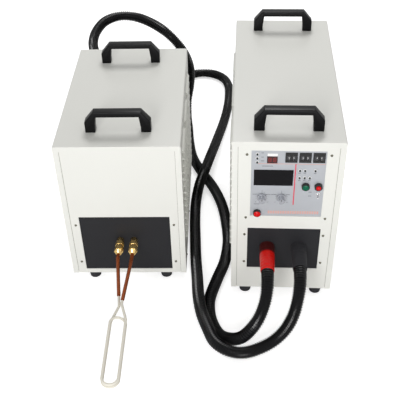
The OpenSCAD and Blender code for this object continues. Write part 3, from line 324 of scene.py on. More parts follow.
RUBBER = Finish("black_rubber", (11, 11, 14), 0.5, specular=0.14,
                grain=Grain.MOULDED, grain_scale=800)
HOSE = Finish("hose_nylon", (6, 6, 9), 0.2, specular=0.34, tint=0.1, dulling=0.12, patch=9.0)
BRASS = Finish("machined_brass", (244, 208, 134), 0.12, 0.75, tint=0.1)
COPPER = Finish("leads_copper", (152, 74, 32), 0.32, 0.6, tint=0.6, dulling=0.2, patch=60.0)
SLEEVE = Finish("glass_sleeve", (229, 224, 208), 0.75, tint=0.14, patch=45.0,
                grain=Grain.BRAID, grain_scale=1500)
# Real white print, and also the painted highlight on the lamp rims.
WHITE_PRINT_AND_HIGHLIGHT = Finish("white_print_and_highlight", (244, 244, 242), 0.5, tint=0.01)
RED_PRINT = Finish("red_print", (222, 76, 96), 0.45, tint=0.04)
PALE_PRINT = Finish("pale_red_print", (218, 170, 162), 0.5, tint=0.04)
# Painted shadow in the gaps round the cabinets' front panels.
GAP_SHADOW = Finish("shadow_gap", (148, 146, 136), 0.7, specular=0.1)
DARK_PRINT = Finish("dark_print", (74, 76, 86), 0.5, tint=0.04)
TIMER_FACE = Finish("timer_face", (62, 14, 16), 0.2, coat=0.4, tint=0.02)
TIMER_SEGMENTS = Finish("timer_segments", (150, 40, 36), 0.4, glow=0.25, tint=0.02)
CIRCUIT_GREEN = Finish("circuit_green", (22, 104, 58), 0.35, tint=0.2, patch=60.0)
CAPACITOR_BLUE = Finish("capacitor_sleeve", (48, 74, 128), 0.35)
ALUMINIUM = Finish("milled_aluminium", (196, 198, 202), 0.32, 1.0, grain=Grain.BRUSHED)
LAMINATION = Finish("varnished_laminations", (58, 52, 50), 0.5, 0.3, grain=Grain.BRUSHED, grain_scale=400)
LIGHT_PLASTIC = Finish("light_grey_plastic", (212, 212, 208), 0.4)
COPPER_BAR = Finish("busbar_copper", (190, 112, 72), 0.3, 1.0, grain=Grain.BRUSHED)
ENAMEL = Finish("winding_enamel", (122, 60, 28), 0.3, coat=0.4, grain=Grain.BRUSHED, grain_scale=260)

CAD_FINISHES: dict[Finish, tuple[str, ...]] = {
    IVORY: ("supply_base", "supply_cover", "supply_front", "supply_rear",
            "station_base", "station_cover", "station_front", "station_rear"),
    PLATE_PRINT: ("control_plate",),
    PHENOLIC: ("supply_output_plate", "station_output_plate"),
    BLACK_GLASS: ("display_window",),
    TIMER_FACE: ("timer_display",),
    LAMP_LENS: ("indicator_lamps",),
    BLACK_PLASTIC_AND_SHADOW: ("pushwheel_housings", "dial_potentiometers", "button_bodies", "mains_gland",
                    "station_glands", "fan_frame", "supply_handles", "station_handles"),
    DARK_PLASTIC: (*(f"pushwheel_{i}" for i in PUSHWHEELS), "breaker_lever", "fan_rotor", "power_modules"),
    SILVER_KNOB: ("left_dial", "right_dial"),
    GREEN_CAP: ("start_button",),
    RED_CAP: ("stop_button", "power_button"),
    CHROME: ("toggle_switch", "toggle_lever", "handle_screws"),
    SCREW: ("cabinet_screws",),
    RUBBER: ("black_boot", "cabinet_feet", "inner_hose", "outer_hose"),
    CIRCUIT_GREEN: ("control_board",),
    BRASS: ("board_standoffs", "water_fittings", "output_fittings", "flare_nuts"),
    CAPACITOR_BLUE: ("filter_capacitors", "resonant_capacitors"),
    ALUMINIUM: ("cooling_plate",),
    LAMINATION: ("smoothing_choke", "transformer_core"),
    LIGHT_PLASTIC: ("main_breaker",),
    COPPER: ("coil_tube",),
    COPPER_BAR: ("busbars",),
    ENAMEL: ("transformer_winding",),
    SLEEVE: ("coil_sleeve",),
}


class Shape:
    """A mesh in the making, built up from bmesh operators in the shared frame, in metres."""

    def __init__(self, source: bpy.types.Mesh | None = None) -> None:
        """Starts empty or as a copy of a mesh.

        Args:
            source: the mesh to copy, if any.
        """
        self.bm = bmesh.new()
        if source:
            self.bm.from_mesh(source)

    def block(self, place: Matrix, x: float, y: float, z: float) -> None:
        """Adds a block.

        Args:
            place: where its middle goes.
            x: its size along the place's X, in mm.
            y: its size along Y, in mm.
            z: its size along Z, in mm.
        """
        size = Matrix.Diagonal((x * MM, y * MM, z * MM, 1.0))
        bmesh.ops.create_cube(self.bm, size=1.0, matrix=place @ size)

    def turned(self, profile: tuple[Point, ...], place: Matrix, steps: int) -> None:
        """Adds a solid of revolution about the Z axis of a place.

        Args:
            profile: closed outline as pairs of radius and height, in mm.
            place: where the axis stands.
            steps: how many sides it has.
        """
        before = set(self.bm.verts)
        verts = [self.bm.verts.new((r * MM, 0.0, z * MM)) for r, z in profile]
        edges = [self.bm.edges.new((a, b)) for a, b in zip(verts, verts[1:] + verts[:1])]
        bmesh.ops.spin(self.bm, geom=verts + edges, cent=(0, 0, 0), axis=(0, 0, 1), dvec=(0, 0, 0),
                       angle=math.tau, steps=steps, use_merge=True, use_normal_flip=False,
                       use_duplicate=False)
        made = [v for v in self.bm.verts if v not in before]
        bmesh.ops.transform(self.bm, matrix=place, verts=made)

    def add(self, source: bpy.types.Mesh, place: Matrix) -> None:
        """Adds a copy of a mesh at a place.

        Args:
            source: the mesh.
            place: where it goes.
        """
        before = set(self.bm.verts)
        self.bm.from_mesh(source)
        made = [v for v in self.bm.verts if v not in before]
        bmesh.ops.transform(self.bm, matrix=place, verts=made)

    def piece(self, name: str, finish: Finish, slot: str, body: str = BODY,
              smooth: float = 0.0) -> bpy.types.Object:
        """Turns the shape into a piece of the machine.

        Args:
            name: the piece's name.
            finish: its finish.
            slot: the record's material slot, not used here.
            body: the body that it moves with.
            smooth: sharpest angle in degrees that is shaded round, 0 for none.

        Returns:
            The new object.
        """
        bmesh.ops.recalc_face_normals(self.bm, faces=self.bm.faces[:])
        data = bpy.data.meshes.new(name)
        self.bm.to_mesh(data)
        self.bm.free()
        data.materials.append(finish.material)
        piece = bpy.data.objects.new(name, data)
        bpy.context.scene.collection.objects.link(piece)
        if smooth:
            data.shade_smooth()
            data.set_sharp_from_angle(angle=math.radians(smooth))
        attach(piece, body)
        log.info("%s: %d faces on %s", name, len(data.polygons), body)
        return piece


def as_mesh(curve: bpy.types.Curve) -> bpy.types.Mesh:
    """The surface of a curve or a text as a mesh.

    Args:
        curve: the curve's or text's data.

    Returns:
        The mesh.
    """
    carrier = bpy.data.objects.new(curve.name, curve)
    bpy.context.scene.collection.objects.link(carrier)
    bpy.context.view_layer.update()
    evaluated = carrier.evaluated_get(bpy.context.evaluated_depsgraph_get())
    data = bpy.data.meshes.new_from_object(evaluated)
    bpy.data.objects.remove(carrier)
    return data


def tube(name: str, line: list[Vector], radii: list[float], sides: int) -> bpy.types.Curve:
    """A closed round tube along a line.

    Args:
        name: its name.
        line: the points of its middle, in metres.
        radii: its radius at each point, in mm.
        sides: how finely its round is divided.

    Returns:
        The tube as a curve.
    """
    curve = bpy.data.curves.new(name, "CURVE")
    curve.dimensions = "3D"
    curve.bevel_depth = MM
    curve.bevel_resolution = sides
    curve.use_fill_caps = True
    spline = curve.splines.new("POLY")
    spline.points.add(len(line) - 1)
    for point, place, radius in zip(spline.points, line, radii):
        point.co = (*place, 1.0)
        point.radius = radius
    return curve


@lru_cache(maxsize=None)
def glyph(text: str) -> bpy.types.Mesh:
    """A flat mesh of plain figures, one unit high and centred on the origin.

    Args:
        text: the figures.

    Returns:
        The mesh, in the X-Y plane.
    """
    curve = bpy.data.curves.new("figures", "FONT")
    curve.body = text
    curve.align_x = "CENTER"
    curve.resolution_u = 2
    data = as_mesh(curve)
    heights = [v.co.y for v in data.vertices]
    low, high = min(heights), max(heights)
    centred = Matrix.Translation((0, -(low + high) / 2, 0))
    data.transform(Matrix.Scale(1 / (high - low), 4) @ centred)
    return data


@dataclass(frozen=True)
class Cabinet:
    """A cabinet's front: the middle of its foot, its width and top in mm, its turn in degrees."""

    x: float
    y: float
    width: float
    top: float
    turn: float = 0.0

    def at(self, x: float, y: float, z: float) -> Matrix:
        """A place on the cabinet, with its Z axis pointing out of the front.

        Args:
            x: to the right of the cabinet's middle, in mm.
            y: back from its front, in mm.
            z: above the floor, in mm.

        Returns:
            The place as a matrix, with X to the viewer's right and Y up.
        """
        home = Matrix.Translation((self.x * MM, self.y * MM, 0))
        turned = home @ Matrix.Rotation(math.radians(self.turn), 4, "Z")
        spot = Matrix.Translation((x * MM, y * MM, z * MM))
        return turned @ spot @ Matrix.Rotation(math.pi / 2, 4, "X")


def supply_cabinet(width: float, top: float) -> Cabinet:
    """The power supply's cabinet, placed by its own solids.

    Args:
        width: its width without the louvres, in mm.
        top: its height above the floor, in mm.

    Returns:
        The cabinet.
    """
    low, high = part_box("supply_front")
    cover_low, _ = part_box("supply_cover")
    return Cabinet((low.x + high.x) / 2 / MM, cover_low.y / MM, width, top)


SUPPLY = supply_cabinet(width=230.0, top=432.0)
# The station stands askew, at the place that the part's source gives it.
STATION = Cabinet(x=-160.919, y=-64.525, width=271.0, top=388.0, turn=2.1)


@dataclass
class Camera:
    """The camera at the photograph's view: place and film in mm, angles in degrees."""

    place: tuple[float, float, float] = (105.3, -1325.5, 1281.6)
    pitch: float = 39.236
    yaw: float = 4.209
    roll: float = -1.637
    focal_px: float = 744.1
    film: float = 36.0
    reach: float = 40.0

    def build(self) -> bpy.types.Object:
        """Makes the camera and gives it to the scene.

        Returns:
            The camera's object.
        """
        data = bpy.data.cameras.new("view")
        data.sensor_fit = "HORIZONTAL"
        data.sensor_width = self.film
        data.lens = self.focal_px * self.film / PHOTO_SIDE
        data.clip_end = self.reach
        camera = bpy.data.objects.new("view", data)
        turn = Matrix.Rotation(math.radians(self.yaw), 4, "Z")
        tilt = Matrix.Rotation(math.radians(90 - self.pitch), 4, "X")
        lean = Matrix.Rotation(math.radians(self.roll), 4, "Z")
        camera.matrix_world = Matrix.Translation(Vector(self.place) * MM) @ turn @ tilt @ lean
        bpy.context.scene.collection.objects.link(camera)
        bpy.context.scene.camera = camera
        return camera


# The hoses' routes from the supply to the station's rear in mm, as in the part's source.
OUTER_ROUTE = [
    (232, -90, 146), (232, -172, 146), (231, -205, 135), (226, -232, 117), (217, -254, 92),
    (201, -271, 67), (177, -286, 48), (146, -300, 38), (112, -310, 35), (80, -305, 36),
    (52, -284, 38), (36, -250, 39), (20, -205, 38), (9, -148, 32), (2, -80, 22),
    (-6, -5, 14), (-12, 70, 14), (-17, 142, 15), (-18, 205, 22), (-12, 260, 36),
    (0, 312, 45), (10, 370, 43), (21, 445, 33), (32, 522, 23), (43, 600, 15),
    (52, 675, 14), (56, 748, 14), (53, 818, 14), (36, 868, 14), (-2, 900, 14),
    (-52, 903, 14), (-95, 875, 14), (-113, 823, 14), (-121, 757, 18), (-136, 685, 40),
    (-149, 612, 74), (-153, 540, 112), (-150, 470, 140), (-146, 402, 150), (-144, 361, 150)]
INNER_ROUTE = [
    (162, -90, 146), (162, -172, 146), (162, -207, 135), (158, -234, 117), (147, -258, 94),
    (131, -273, 72), (110, -279, 49), (88, -270, 31), (64, -252, 19), (47, -222, 14),
    (36, -185, 14), (34, -138, 14), (48, -76, 14), (65, -12, 14), (71, 60, 14),
    (64, 135, 14), (50, 208, 14), (24, 280, 14), (-12, 350, 14), (-40, 418, 14),
    (-54, 490, 14), (-62, 558, 18), (-68, 600, 39), (-68, 634, 74), (-61, 650, 118),
    (-59, 655, 165), (-69, 653, 210), (-92, 656, 251), (-130, 673, 283), (-178, 702, 299),
    (-225, 720, 307), (-272, 716, 310), (-309, 690, 306), (-329, 647, 295), (-331, 598, 286),
    (-317, 543, 282), (-290, 487, 280), (-263, 434, 280), (-255, 395, 280), (-254, 357, 280)]


@dataclass
class Hose:
    """A corrugated hose between the two cabinets, with its sizes in mm."""

    name: str
    node: str
    route: list[tuple[float, float, float]]
    diameter: float = 28.0
    groove: float = 2.4
    pitch: float = 5.4
    span_steps: int = 24
    smoothing: int = 3
    sides: int = 7

    @property
    def step(self) -> float:
        """The distance between two points of the centre line, a quarter of a corrugation."""
        return self.pitch / 4

    def line(self) -> list[Vector]:
        """The hose's centre line as a smooth curve that stays clear of the floor.

        Returns:
            The points, in metres.
        """
        points = [Vector(p) for p in self.route]
        points = [2 * points[0] - points[1], *points, 2 * points[-1] - points[-2]]
        fine: list[Vector] = []
        for a, b, c, d in zip(points, points[1:], points[2:], points[3:]):
            for i in range(self.span_steps):
                fine.append(self.between(a, b, c, d, i / self.span_steps))
        fine.append(points[-2])
        for _ in range(self.smoothing):
            inner = [(p + 2 * q + r) / 4 for p, q, r in zip(fine, fine[1:], fine[2:])]
            fine = [fine[0], *inner, fine[-1]]
        for point in fine:
            point.z = max(point.z, self.diameter / 2)
        return [p * MM for p in self.spaced(fine, self.step)]

    @staticmethod
    def between(a: Vector, b: Vector, c: Vector, d: Vector, t: float) -> Vector:
        """A point on the smooth curve from b to c.

        Args:
            a: the point before b.
            b: the start.
            c: the end.
            d: the point after c.
            t: how far along, from 0 to 1.

        Returns:
            The point.
        """
        first = 2 * b + t * (c - a)
        second = t * t * (2 * a - 5 * b + 4 * c - d)
        third = t * t * t * (3 * b - a - 3 * c + d)
        return (first + second + third) / 2

    @staticmethod
    def spaced(points: list[Vector], step: float) -> list[Vector]:
        """The same line with its points an even step apart.

        Args:
            points: the line.
            step: the distance between two points.

        Returns:
            The new points.
        """
        out, left = [points[0]], step
        for a, b in zip(points, points[1:]):
            way, done = (b - a).length, 0.0
            while way - done >= left:
                done += left
                out.append(a + (b - a) * (done / way))
                left = step
            left -= way - done
        return out

    def build(self) -> bpy.types.Object:
        """Returns:
            The hose's object.
        """
        line = self.line()
        crest = self.diameter / 2
        valley = crest - self.groove
        ribs = (crest, crest, valley, valley)
        curve = tube(self.name, line, [ribs[i % 4] for i in range(len(line))], self.sides)
        curve.splines[0].use_smooth = False
        curve.materials.append(HOSE.material)
        hose = bpy.data.objects.new(self.name, curve)
        bpy.context.scene.collection.objects.link(hose)
        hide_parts(self.node)
        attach(hose, BODY)
        return hose


@dataclass
class Rounded:
    """Solids shown with the rounded edges that the part's source leaves out.

    Lengths are in mm and angles in degrees.
    """

    nodes: tuple[str, ...]
    finish: Finish
    slot: str
    rounding: float
    shortest: float = 4.0
    steps: int = 3
    merged: float = 0.02
    flat: float = 3.0
    sharp: float = 15.0
    shaded: float = 50.0

    def build(self) -> None:
        """Makes a rounded copy of each solid."""
        for node in self.nodes:
            shape = Shape(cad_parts[node].data)
            bm = shape.bm
            bmesh.ops.remove_doubles(bm, verts=bm.verts[:], dist=self.merged * MM)
            bmesh.ops.dissolve_limit(bm, angle_limit=math.radians(self.flat), verts=bm.verts[:],
                                     edges=bm.edges[:], delimit={"NORMAL"})
            edges = [e for e in bm.edges if e.calc_length() > self.shortest * MM
                     and len(e.link_faces) == 2 and e.calc_face_angle() > math.radians(self.sharp)]
            bmesh.ops.bevel(bm, geom=edges, offset=self.rounding * MM, offset_type="OFFSET", affect="EDGES",
                            segments=self.steps, profile=0.5, material=-1, clamp_overlap=True)
            piece = shape.piece(f"{node}_rounded", self.finish, self.slot, smooth=self.shaded)
            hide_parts(node)


@dataclass(frozen=True)
class Plate:
    """The face of the control plate: its middle in mm, from the supply's own place."""

    x: float = 1.0
    y: float = 3.0
    z: float = 324.0

    def at(self, x: float, z: float, out: float = 0.0) -> Matrix:
        """A place on the plate's face.

        Args:
            x: right of the plate's middle, in mm.
            z: above the middle, in mm.
            out: how far out of the plate, in mm.

        Returns:
            The place, with its Z axis out of the plate.
        """
        return SUPPLY.at(self.x + x, self.y - out, self.z + z)

    def patch(self, shape: Shape, area: Area, thick: float) -> None:
        """Adds a flat raised patch to a shape.

        Args:
            shape: the shape that takes it.
            area: its edges from the plate's middle, in mm.
            thick: how far it stands out, in mm.
        """
        left, low, right, high = area
        place = self.at((left + right) / 2, (low + high) / 2, thick / 2)
        shape.block(place, right - left, high - low, thick)


PLATE = Plate()


@dataclass
class DialLines:
    """The pointer line on the front of each dial, which turns with it, in mm."""

    dials: tuple[str, ...] = ("left_dial", "right_dial")
    wide: float = 1.1
    long: float = 5.2
    up: float = 6.0

    def build(self) -> None:
        """Makes the lines, each on its own dial."""
        for name in self.dials:
            low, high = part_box(name)
            middle = (low + high) / 2
            middle.y = low.y
            middle.z += (self.up - self.long / 2) * MM
            shape = Shape()
            shape.block(Matrix.Translation(middle), self.wide, 2 * PRINT_T, self.long)
            shape.piece(f"{name}_line", BLACK_PLASTIC_AND_SHADOW, "black_plastic", name)


@dataclass
class PlatePrint:
    """What is printed on the control plate, in mm from its middle.

    A caption is given by its middle and by how many strokes stand for it.
    """

    red_post: Area = (13.6, -55.0, 16.0, 52.6)
    pale_rule: Area = (-62.0, 52.0, 75.0, 53.2)
    banner_from: float = -38.0
    banner_pitch: float = 5.2
    banner_blocks: int = 21
    banner_z: float = -76.0
    banner_block: Point = (3.7, 7.6)
    timer_label: Area = (-43.5, 71.6, -23.0, 78.0)
    timer_label_t: float = 0.4
    stroke: Point = (1.0, 1.8)
    stroke_pitch: float = 1.7
    captions: tuple[tuple[float, float, int], ...] = (
        (-53.0, 79.5, 3), (-53.0, 69.0, 3), (-53.0, 59.5, 4), (-42.5, 46.6, 13),
        (-66.0, -27.6, 6), (-38.5, -27.6, 6), (-27.0, -27.6, 6), (3.0, -27.6, 5),
        (-62.0, -54.0, 7), (48.5, -19.6, 4), (48.5, -30.0, 4),
        (24.0, 29.6, 3), (34.5, 29.6, 3), (55.5, 29.6, 3),
        (24.0, 11.0, 3), (34.5, 11.0, 3), (45.0, 11.0, 3))

    def build_rules(self) -> None:
        """Makes the red post, the pale rule with the plain banner, and the timer's label."""
        post = Shape()
        PLATE.patch(post, self.red_post, PRINT_T)
        post.piece("panel_red_post", RED_PRINT, "control_paint")
        pale = Shape()
        PLATE.patch(pale, self.pale_rule, PRINT_T)
        wide, tall = self.banner_block
        low, high = self.banner_z - tall / 2, self.banner_z + tall / 2
        for i in range(self.banner_blocks):
            left = self.banner_from + self.banner_pitch * i
            PLATE.patch(pale, (left, low, left + wide, high), PRINT_T)
        pale.piece("panel_pale_rules", PALE_PRINT, "control_paint")
        label = Shape()
        PLATE.patch(label, self.timer_label, self.timer_label_t)
        label.piece("timer_label", WHITE_PRINT_AND_HIGHLIGHT, "control_paint")

    def build_captions(self) -> None:
        """Makes plain strokes where small captions stand, with no lettering in them."""
        shape = Shape()
        wide, tall = self.stroke
        for x, z, count in self.captions:
            for i in range(count):
                left = x + (i - count / 2) * self.stroke_pitch
                PLATE.patch(shape, (left, z - tall / 2, left + wide, z + tall / 2), PRINT_T)
        shape.piece("panel_strokes", DARK_PRINT, "control_paint")

    def build(self) -> None:
        """Makes all the print but the scales round the dials."""
        self.build_rules()
        self.build_captions()


@dataclass
class DialScales:
    """The printed scale round each dial, in mm and degrees, with numbers at its ends and top."""

    dial_x: Point = (-52.0, -11.0)
    dial_z: float = -35.0
    radius: float = 12.6
    swing: float = 135.0
    ticks: int = 11
    long_every: int = 5
    tick_wide: float = 0.4
    long_tick: float = 2.4
    short_tick: float = 1.3
    tick_out: float = 0.07
    number_tall: float = 2.6
    numbers: tuple[tuple[str, float, float], ...] = (
        ("0", -12.5, -13.5), ("5", 0.0, 16.6), ("10", 12.5, -13.5))

    def build(self) -> None:
        """Makes both scales as one piece."""
        shape = Shape()
        tall = Matrix.Scale(self.number_tall * MM, 4)
        for x in self.dial_x:
            dial = PLATE.at(x, self.dial_z, self.tick_out)
            for i in range(self.ticks):
                angle = math.radians(self.swing * (1 - 2 * i / (self.ticks - 1)))
                turned = dial @ Matrix.Rotation(angle, 4, "Z")
                tick = turned @ Matrix.Translation((0, self.radius * MM, 0))
                long = self.short_tick if i % self.long_every else self.long_tick
                shape.block(tick, self.tick_wide, long, PRINT_T)
            for text, dx, dz in self.numbers:
                shape.add(glyph(text), PLATE.at(x + dx, self.dial_z + dz, PRINT_T) @ tall)
        shape.piece("dial_scales", DARK_PRINT, "control_paint")


@dataclass
class LampBezels:
    """Raised rims round the indicator lamps, coloured white as a painted highlight of the light on the lamp
    holders, in mm, placed from the plate's middle.
    """

    places: tuple[Point, ...] = (
        (-64.0, 56.5), (-64.0, 66.5), (-64.0, 76.5),
        (24.0, 36.5), (34.5, 36.5), (55.5, 36.5), (24.0, 18.0), (34.5, 18.0), (45.0, 18.0))
    rim: tuple[Point, ...] = ((2.25, 0.0), (3.5, 0.0), (3.3, 0.7), (2.7, 1.0), (2.25, 0.8))
    sides: int = 20
    shaded: float = 40.0

    def build(self) -> None:
        """Makes the rims, with their painted highlight, as one piece."""
        shape = Shape()
        for x, z in self.places:
            shape.turned(self.rim, PLATE.at(x, z), self.sides)
        # Painted highlight: the rims are white to stand for light on the lamp holders.
        shape.piece("lamp_rims_painted_highlight", WHITE_PRINT_AND_HIGHLIGHT, "bright_metal", smooth=self.shaded)


@dataclass
class TimerFigures:
    """The timer's two seven-segment figures, in mm, placed from the plate's middle."""

    middles: Point = (-38.4, -28.6)
    z: float = 62.5
    wide: float = 4.6
    tall: float = 9.0
    bar: float = 0.9
    level_trim: float = 0.6
    upright_trim: float = 0.5
    thick: float = 0.75

    def build(self) -> None:
        """Makes the figures from three level and four upright bars each."""
        shape = Shape()
        thin = self.bar / 2
        level, upright = self.wide / 2 - self.level_trim, self.tall / 4 - self.upright_trim
        for middle in self.middles:
            for step in (-1, 0, 1):
                z = self.z + step * self.tall / 2
                PLATE.patch(shape, (middle - level, z - thin, middle + level, z + thin), self.thick)
            for side in (-1, 1):
                x = middle + side * self.wide / 2
                for half in (-1, 1):
                    z = self.z + half * self.tall / 4
                    PLATE.patch(shape, (x - thin, z - upright, x + thin, z + upright), self.thick)
        shape.piece("timer_figures", TIMER_SEGMENTS, "display_red")


@dataclass
class WheelFigures:
    """The figures 0 to 9 on each pushwheel's band, which turn with it, in mm and degrees."""

    count: int = 10
    radius: float = 7.86
    tall: float = 3.4
    lead: float = 13.0
    inset: float = 1.5

    def build(self) -> None:
        """Makes the figures, one piece on each wheel."""
        out = Matrix.Translation((0, 0, self.radius * MM))
        face = Matrix.Rotation(math.pi / 2, 4, "X") @ out @ Matrix.Scale(self.tall * MM, 4)
        for index in PUSHWHEELS:
            low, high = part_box(f"pushwheel_{index}")
            side = -1 if index % 2 else 1
            centre = (low + high) / 2
            centre.x -= side * self.inset * MM
            shape = Shape()
            for figure in range(self.count):
                angle = math.radians(360 / self.count * figure - self.lead)
                turned = Matrix.Translation(centre) @ Matrix.Rotation(angle, 4, "X")
                shape.add(glyph(str(figure)), turned @ face)
            shape.piece(f"wheel_figures_{index}", WHITE_PRINT_AND_HIGHLIGHT, "dark_plastic", f"pushwheel_{index}")


@dataclass
class ScrewSlots:
    """Dark crosses on the heads of the cabinet screws, as painted shadow in their crossed recesses, in mm,
    each turned its own way.
    """

    across: float = 3.6
    wide: float = 0.7
    thick: float = 0.1
    head: float = 1.8
    panel_y: float = 1.5
    turn_step: float = 0.7
    supply: tuple[Point, ...] = (
        (-84.0, 400.0), (86.0, 400.0), (-84.0, 233.0), (86.0, 233.0),
        (-86.0, 184.0), (86.0, 184.0), (-86.0, 102.0), (86.0, 102.0))
    station: tuple[Point, ...] = ((-112.0, 170.0), (112.0, 170.0), (-112.0, 56.0), (112.0, 56.0))

    def build(self) -> None:
        """Makes the painted shadow of the recesses as one dark piece just proud of the heads."""
        shape = Shape()
        for cabinet, spots in ((SUPPLY, self.supply), (STATION, self.station)):
            for i, (x, z) in enumerate(spots):
                head = cabinet.at(x, self.panel_y - self.head, z)
                place = head @ Matrix.Rotation(self.turn_step * i, 4, "Z")
                shape.block(place, self.across, self.wide, self.thick)
                shape.block(place, self.wide, self.across, self.thick)
        # Painted shadow in the crosshead recesses.
        shape.piece("screw_recess_shadows", BLACK_PLASTIC_AND_SHADOW, "black_plastic")


@dataclass
class FlangeGaps:
    """Painted shadow: thin dark strips on the fronts where the narrow gaps between each cover's flanges and
    the front panel behind them lie in shade, in mm.
    """

    flange: float = 12.5
    wide: float = 0.7
    thick: float = 0.1
    face_y: float = 1.5
    low: float = 24.0

    def build(self) -> None:
        """Makes the painted shadows of the gaps as one dark piece."""
        shape = Shape()
        for cabinet in (SUPPLY, STATION):
            edge, high = cabinet.width / 2 - self.flange, cabinet.top - self.flange
            for x in (-edge + self.wide / 2, edge - self.wide / 2):
                upright = cabinet.at(x, self.face_y, (high + self.low) / 2)
                shape.block(upright, self.wide, high - self.low, self.thick)
            level = cabinet.at(0.0, self.face_y, high - self.wide / 2)
            shape.block(level, 2 * edge, self.wide, self.thick)
        # Painted shadow strips, not a cut gap.
        shape.piece("flange_gap_shadows", GAP_SHADOW, "ivory_paint")


@dataclass
class RedBoot:
    """The red boot over the start of the inner hose, with its sizes in mm."""

    root_y: float = 3.0
    dark_len: float = 26.0
    fade: float = 5.0
    colour: Colour = (222, 18, 8)
    # Near the plate the boot is dark: partly its dark fitting under it, partly painted shade.
    dark_colour: Colour = (74, 20, 18)
    length: float = 79.0
    root_r: float = 17.2
    tip_r: float = 15.0
    wrinkle: float = 0.45
    wrinkle_pitch: float = 8.1
    sides: int = 10
    shaded: float = 50.0
    hose: str = "inner_hose"

    def skin(self) -> bpy.types.Mesh:
        """The boot's rubber, drawn along the hose, narrower and more wrinkled towards its tip.

        Returns:
            Its mesh.
        """
        hose = Hose(self.hose, self.hose, INNER_ROUTE)
        first = round((hose.route[0][1] - SUPPLY.y - self.root_y) / hose.step)
        line = hose.line()[first:first + round(self.length / hose.step)]
        radii = []
        for i in range(len(line)):
            part = i / (len(line) - 1)
            narrow = self.root_r + (self.tip_r - self.root_r) * part * part
            wave = math.sin(math.tau * i * hose.step / self.wrinkle_pitch)
            radii.append(narrow + self.wrinkle * part * wave)
        return as_mesh(tube("boot", line, radii, self.sides))

    def build(self) -> None:
        """Makes the boot, whose colour darkens towards the plate: partly the dark fitting under the boot,
        partly painted shade.
        """
        start = (SUPPLY.y + self.root_y - self.dark_len) * MM
        red = FadedFinish("red_boot_rubber", self.colour, 0.3, coat=0.1, specular=0.3, tint=0.08,
                          far_colour=self.dark_colour, near_y=start - self.fade * MM, far_y=start)
        dress("red_boot", red)
        piece = Shape(self.skin()).piece("red_boot_skin", red, "red_rubber", smooth=self.shaded)
        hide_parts("red_boot")


def dress(node: str, finish: Finish) -> None:
    """Gives a CAD node its finish.

    Args:
        node: the node's name.
        finish: the finish.
    """
    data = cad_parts[node].data
    data.materials.clear()
    data.materials.append(finish.material)
    log.info("%s: %s", node, finish.name)


@dataclass(frozen=True)
class SoftLight:
    """A square light: its place and side in metres, and its power in watts."""

    name: str
    place: tuple[float, float, float]
    power: float
    side: float

    def build(self, aim: Vector) -> None:
        """Makes the light.

        Args:
            aim: the point that it is turned to.
        """
        data = bpy.data.lights.new(self.name, "AREA")
        data.energy = self.power
        data.shape = "SQUARE"
        data.size = self.side
        light = bpy.data.objects.new(self.name, data)
        light.location = self.place
        light.rotation_euler = (aim - light.location).to_track_quat("-Z", "Y").to_euler()
        bpy.context.scene.collection.objects.link(light)


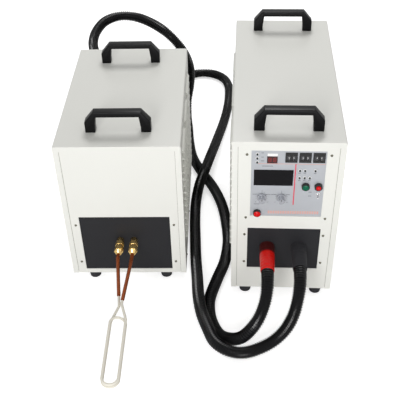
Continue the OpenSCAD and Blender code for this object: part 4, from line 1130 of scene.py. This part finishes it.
@dataclass
class Studio:
    """Plain pale floor, white surroundings and soft lights."""

    floor_side: float = 12.0
    floor_colour: Colour = (246, 246, 246)
    floor_rough: float = 0.9
    floor_lift: float = 0.6
    world_level: float = 0.40
    gloss_level: float = 0.75
    lights: tuple[SoftLight, ...] = (
        SoftLight("key", (-0.7, -3.4, 1.7), 53.0, 1.1),
        SoftLight("fill", (2.6, -1.9, 1.2), 3.0, 1.6),
        SoftLight("low", (0.5, -2.9, 0.35), 17.0, 1.0),
        SoftLight("top", (0.1, 1.5, 2.3), 19.0, 0.8))
    aim: tuple[float, float, float] = (0.0, 0.0, 0.2)

    def raised(self, tree: bpy.types.NodeTree, ray: bpy.types.NodeSocket, top: float,
               under: bpy.types.NodeSocket | None) -> bpy.types.NodeSocket:
        """Adds a node that gives one level for a kind of ray and another for the rest.

        Args:
            tree: the node tree that takes it.
            ray: 1 for the kind of ray.
            top: the level for it.
            under: the level for the rest, or None for the plain surroundings.

        Returns:
            The socket with the level.
        """
        level = tree.nodes.new("ShaderNodeMapRange")
        level.inputs["To Min"].default_value = self.world_level
        level.inputs["To Max"].default_value = top
        tree.links.new(ray, level.inputs["Value"])
        if under:
            tree.links.new(under, level.inputs["To Min"])
        return level.outputs["Result"]

    def build_floor(self) -> None:
        """Makes the floor, lit a little from itself where it is seen directly."""
        shape = Shape()
        bmesh.ops.create_grid(shape.bm, x_segments=1, y_segments=1, size=self.floor_side / 2)
        data = bpy.data.meshes.new("floor")
        shape.bm.to_mesh(data)
        shape.bm.free()
        material = bpy.data.materials.new("floor")
        material.use_nodes = True
        tree = material.node_tree
        shader = tree.nodes["Principled BSDF"]
        shader.inputs["Base Color"].default_value = linear(self.floor_colour)
        shader.inputs["Roughness"].default_value = self.floor_rough
        shader.inputs["Emission Color"].default_value = (1, 1, 1, 1)
        lift = tree.nodes.new("ShaderNodeMath")
        lift.operation = "MULTIPLY"
        lift.inputs[1].default_value = self.floor_lift
        path = tree.nodes.new("ShaderNodeLightPath")
        tree.links.new(path.outputs["Is Camera Ray"], lift.inputs[0])
        tree.links.new(lift.outputs[0], shader.inputs["Emission Strength"])
        data.materials.append(material)
        floor = bpy.data.objects.new("floor", data)
        bpy.context.scene.collection.objects.link(floor)

    def build_world(self) -> None:
        """Makes the surroundings: soft light on the object, and white where they are seen."""
        world = bpy.data.worlds.new("studio")
        bpy.context.scene.world = world
        world.use_nodes = True
        tree = world.node_tree
        back = tree.nodes["Background"]
        back.inputs["Color"].default_value = (1, 1, 1, 1)
        path = tree.nodes.new("ShaderNodeLightPath")
        glossy = self.raised(tree, path.outputs["Is Glossy Ray"], self.gloss_level, None)
        seen = self.raised(tree, path.outputs["Is Camera Ray"], 1.0, glossy)
        tree.links.new(seen, back.inputs["Strength"])

    def build(self) -> None:
        """Makes the whole studio."""
        self.build_floor()
        self.build_world()
        for light in self.lights:
            light.build(Vector(self.aim))
        bpy.context.scene.view_settings.view_transform = "Standard"


def main() -> None:
    """Sets the camera, dresses the solids and adds the hoses, the fine pieces and the studio."""
    Camera().build()
    Hose("outer_hose_ribbed", "outer_hose", OUTER_ROUTE).build()
    Hose("inner_hose_ribbed", "inner_hose", INNER_ROUTE).build()
    for finish, nodes in CAD_FINISHES.items():
        for node in nodes:
            dress(node, finish)
    RedBoot().build()
    Rounded(("supply_handles", "station_handles"), HANDLE_PLASTIC, "black_plastic", rounding=1.6).build()
    Rounded(("output_fittings", "flare_nuts"), BRASS, "brass", rounding=0.9).build()
    DialLines().build()
    PlatePrint().build()
    DialScales().build()
    LampBezels().build()
    TimerFigures().build()
    WheelFigures().build()
    ScrewSlots().build()
    FlangeGaps().build()
    Studio().build()


if __name__ == "__main__":
    main()
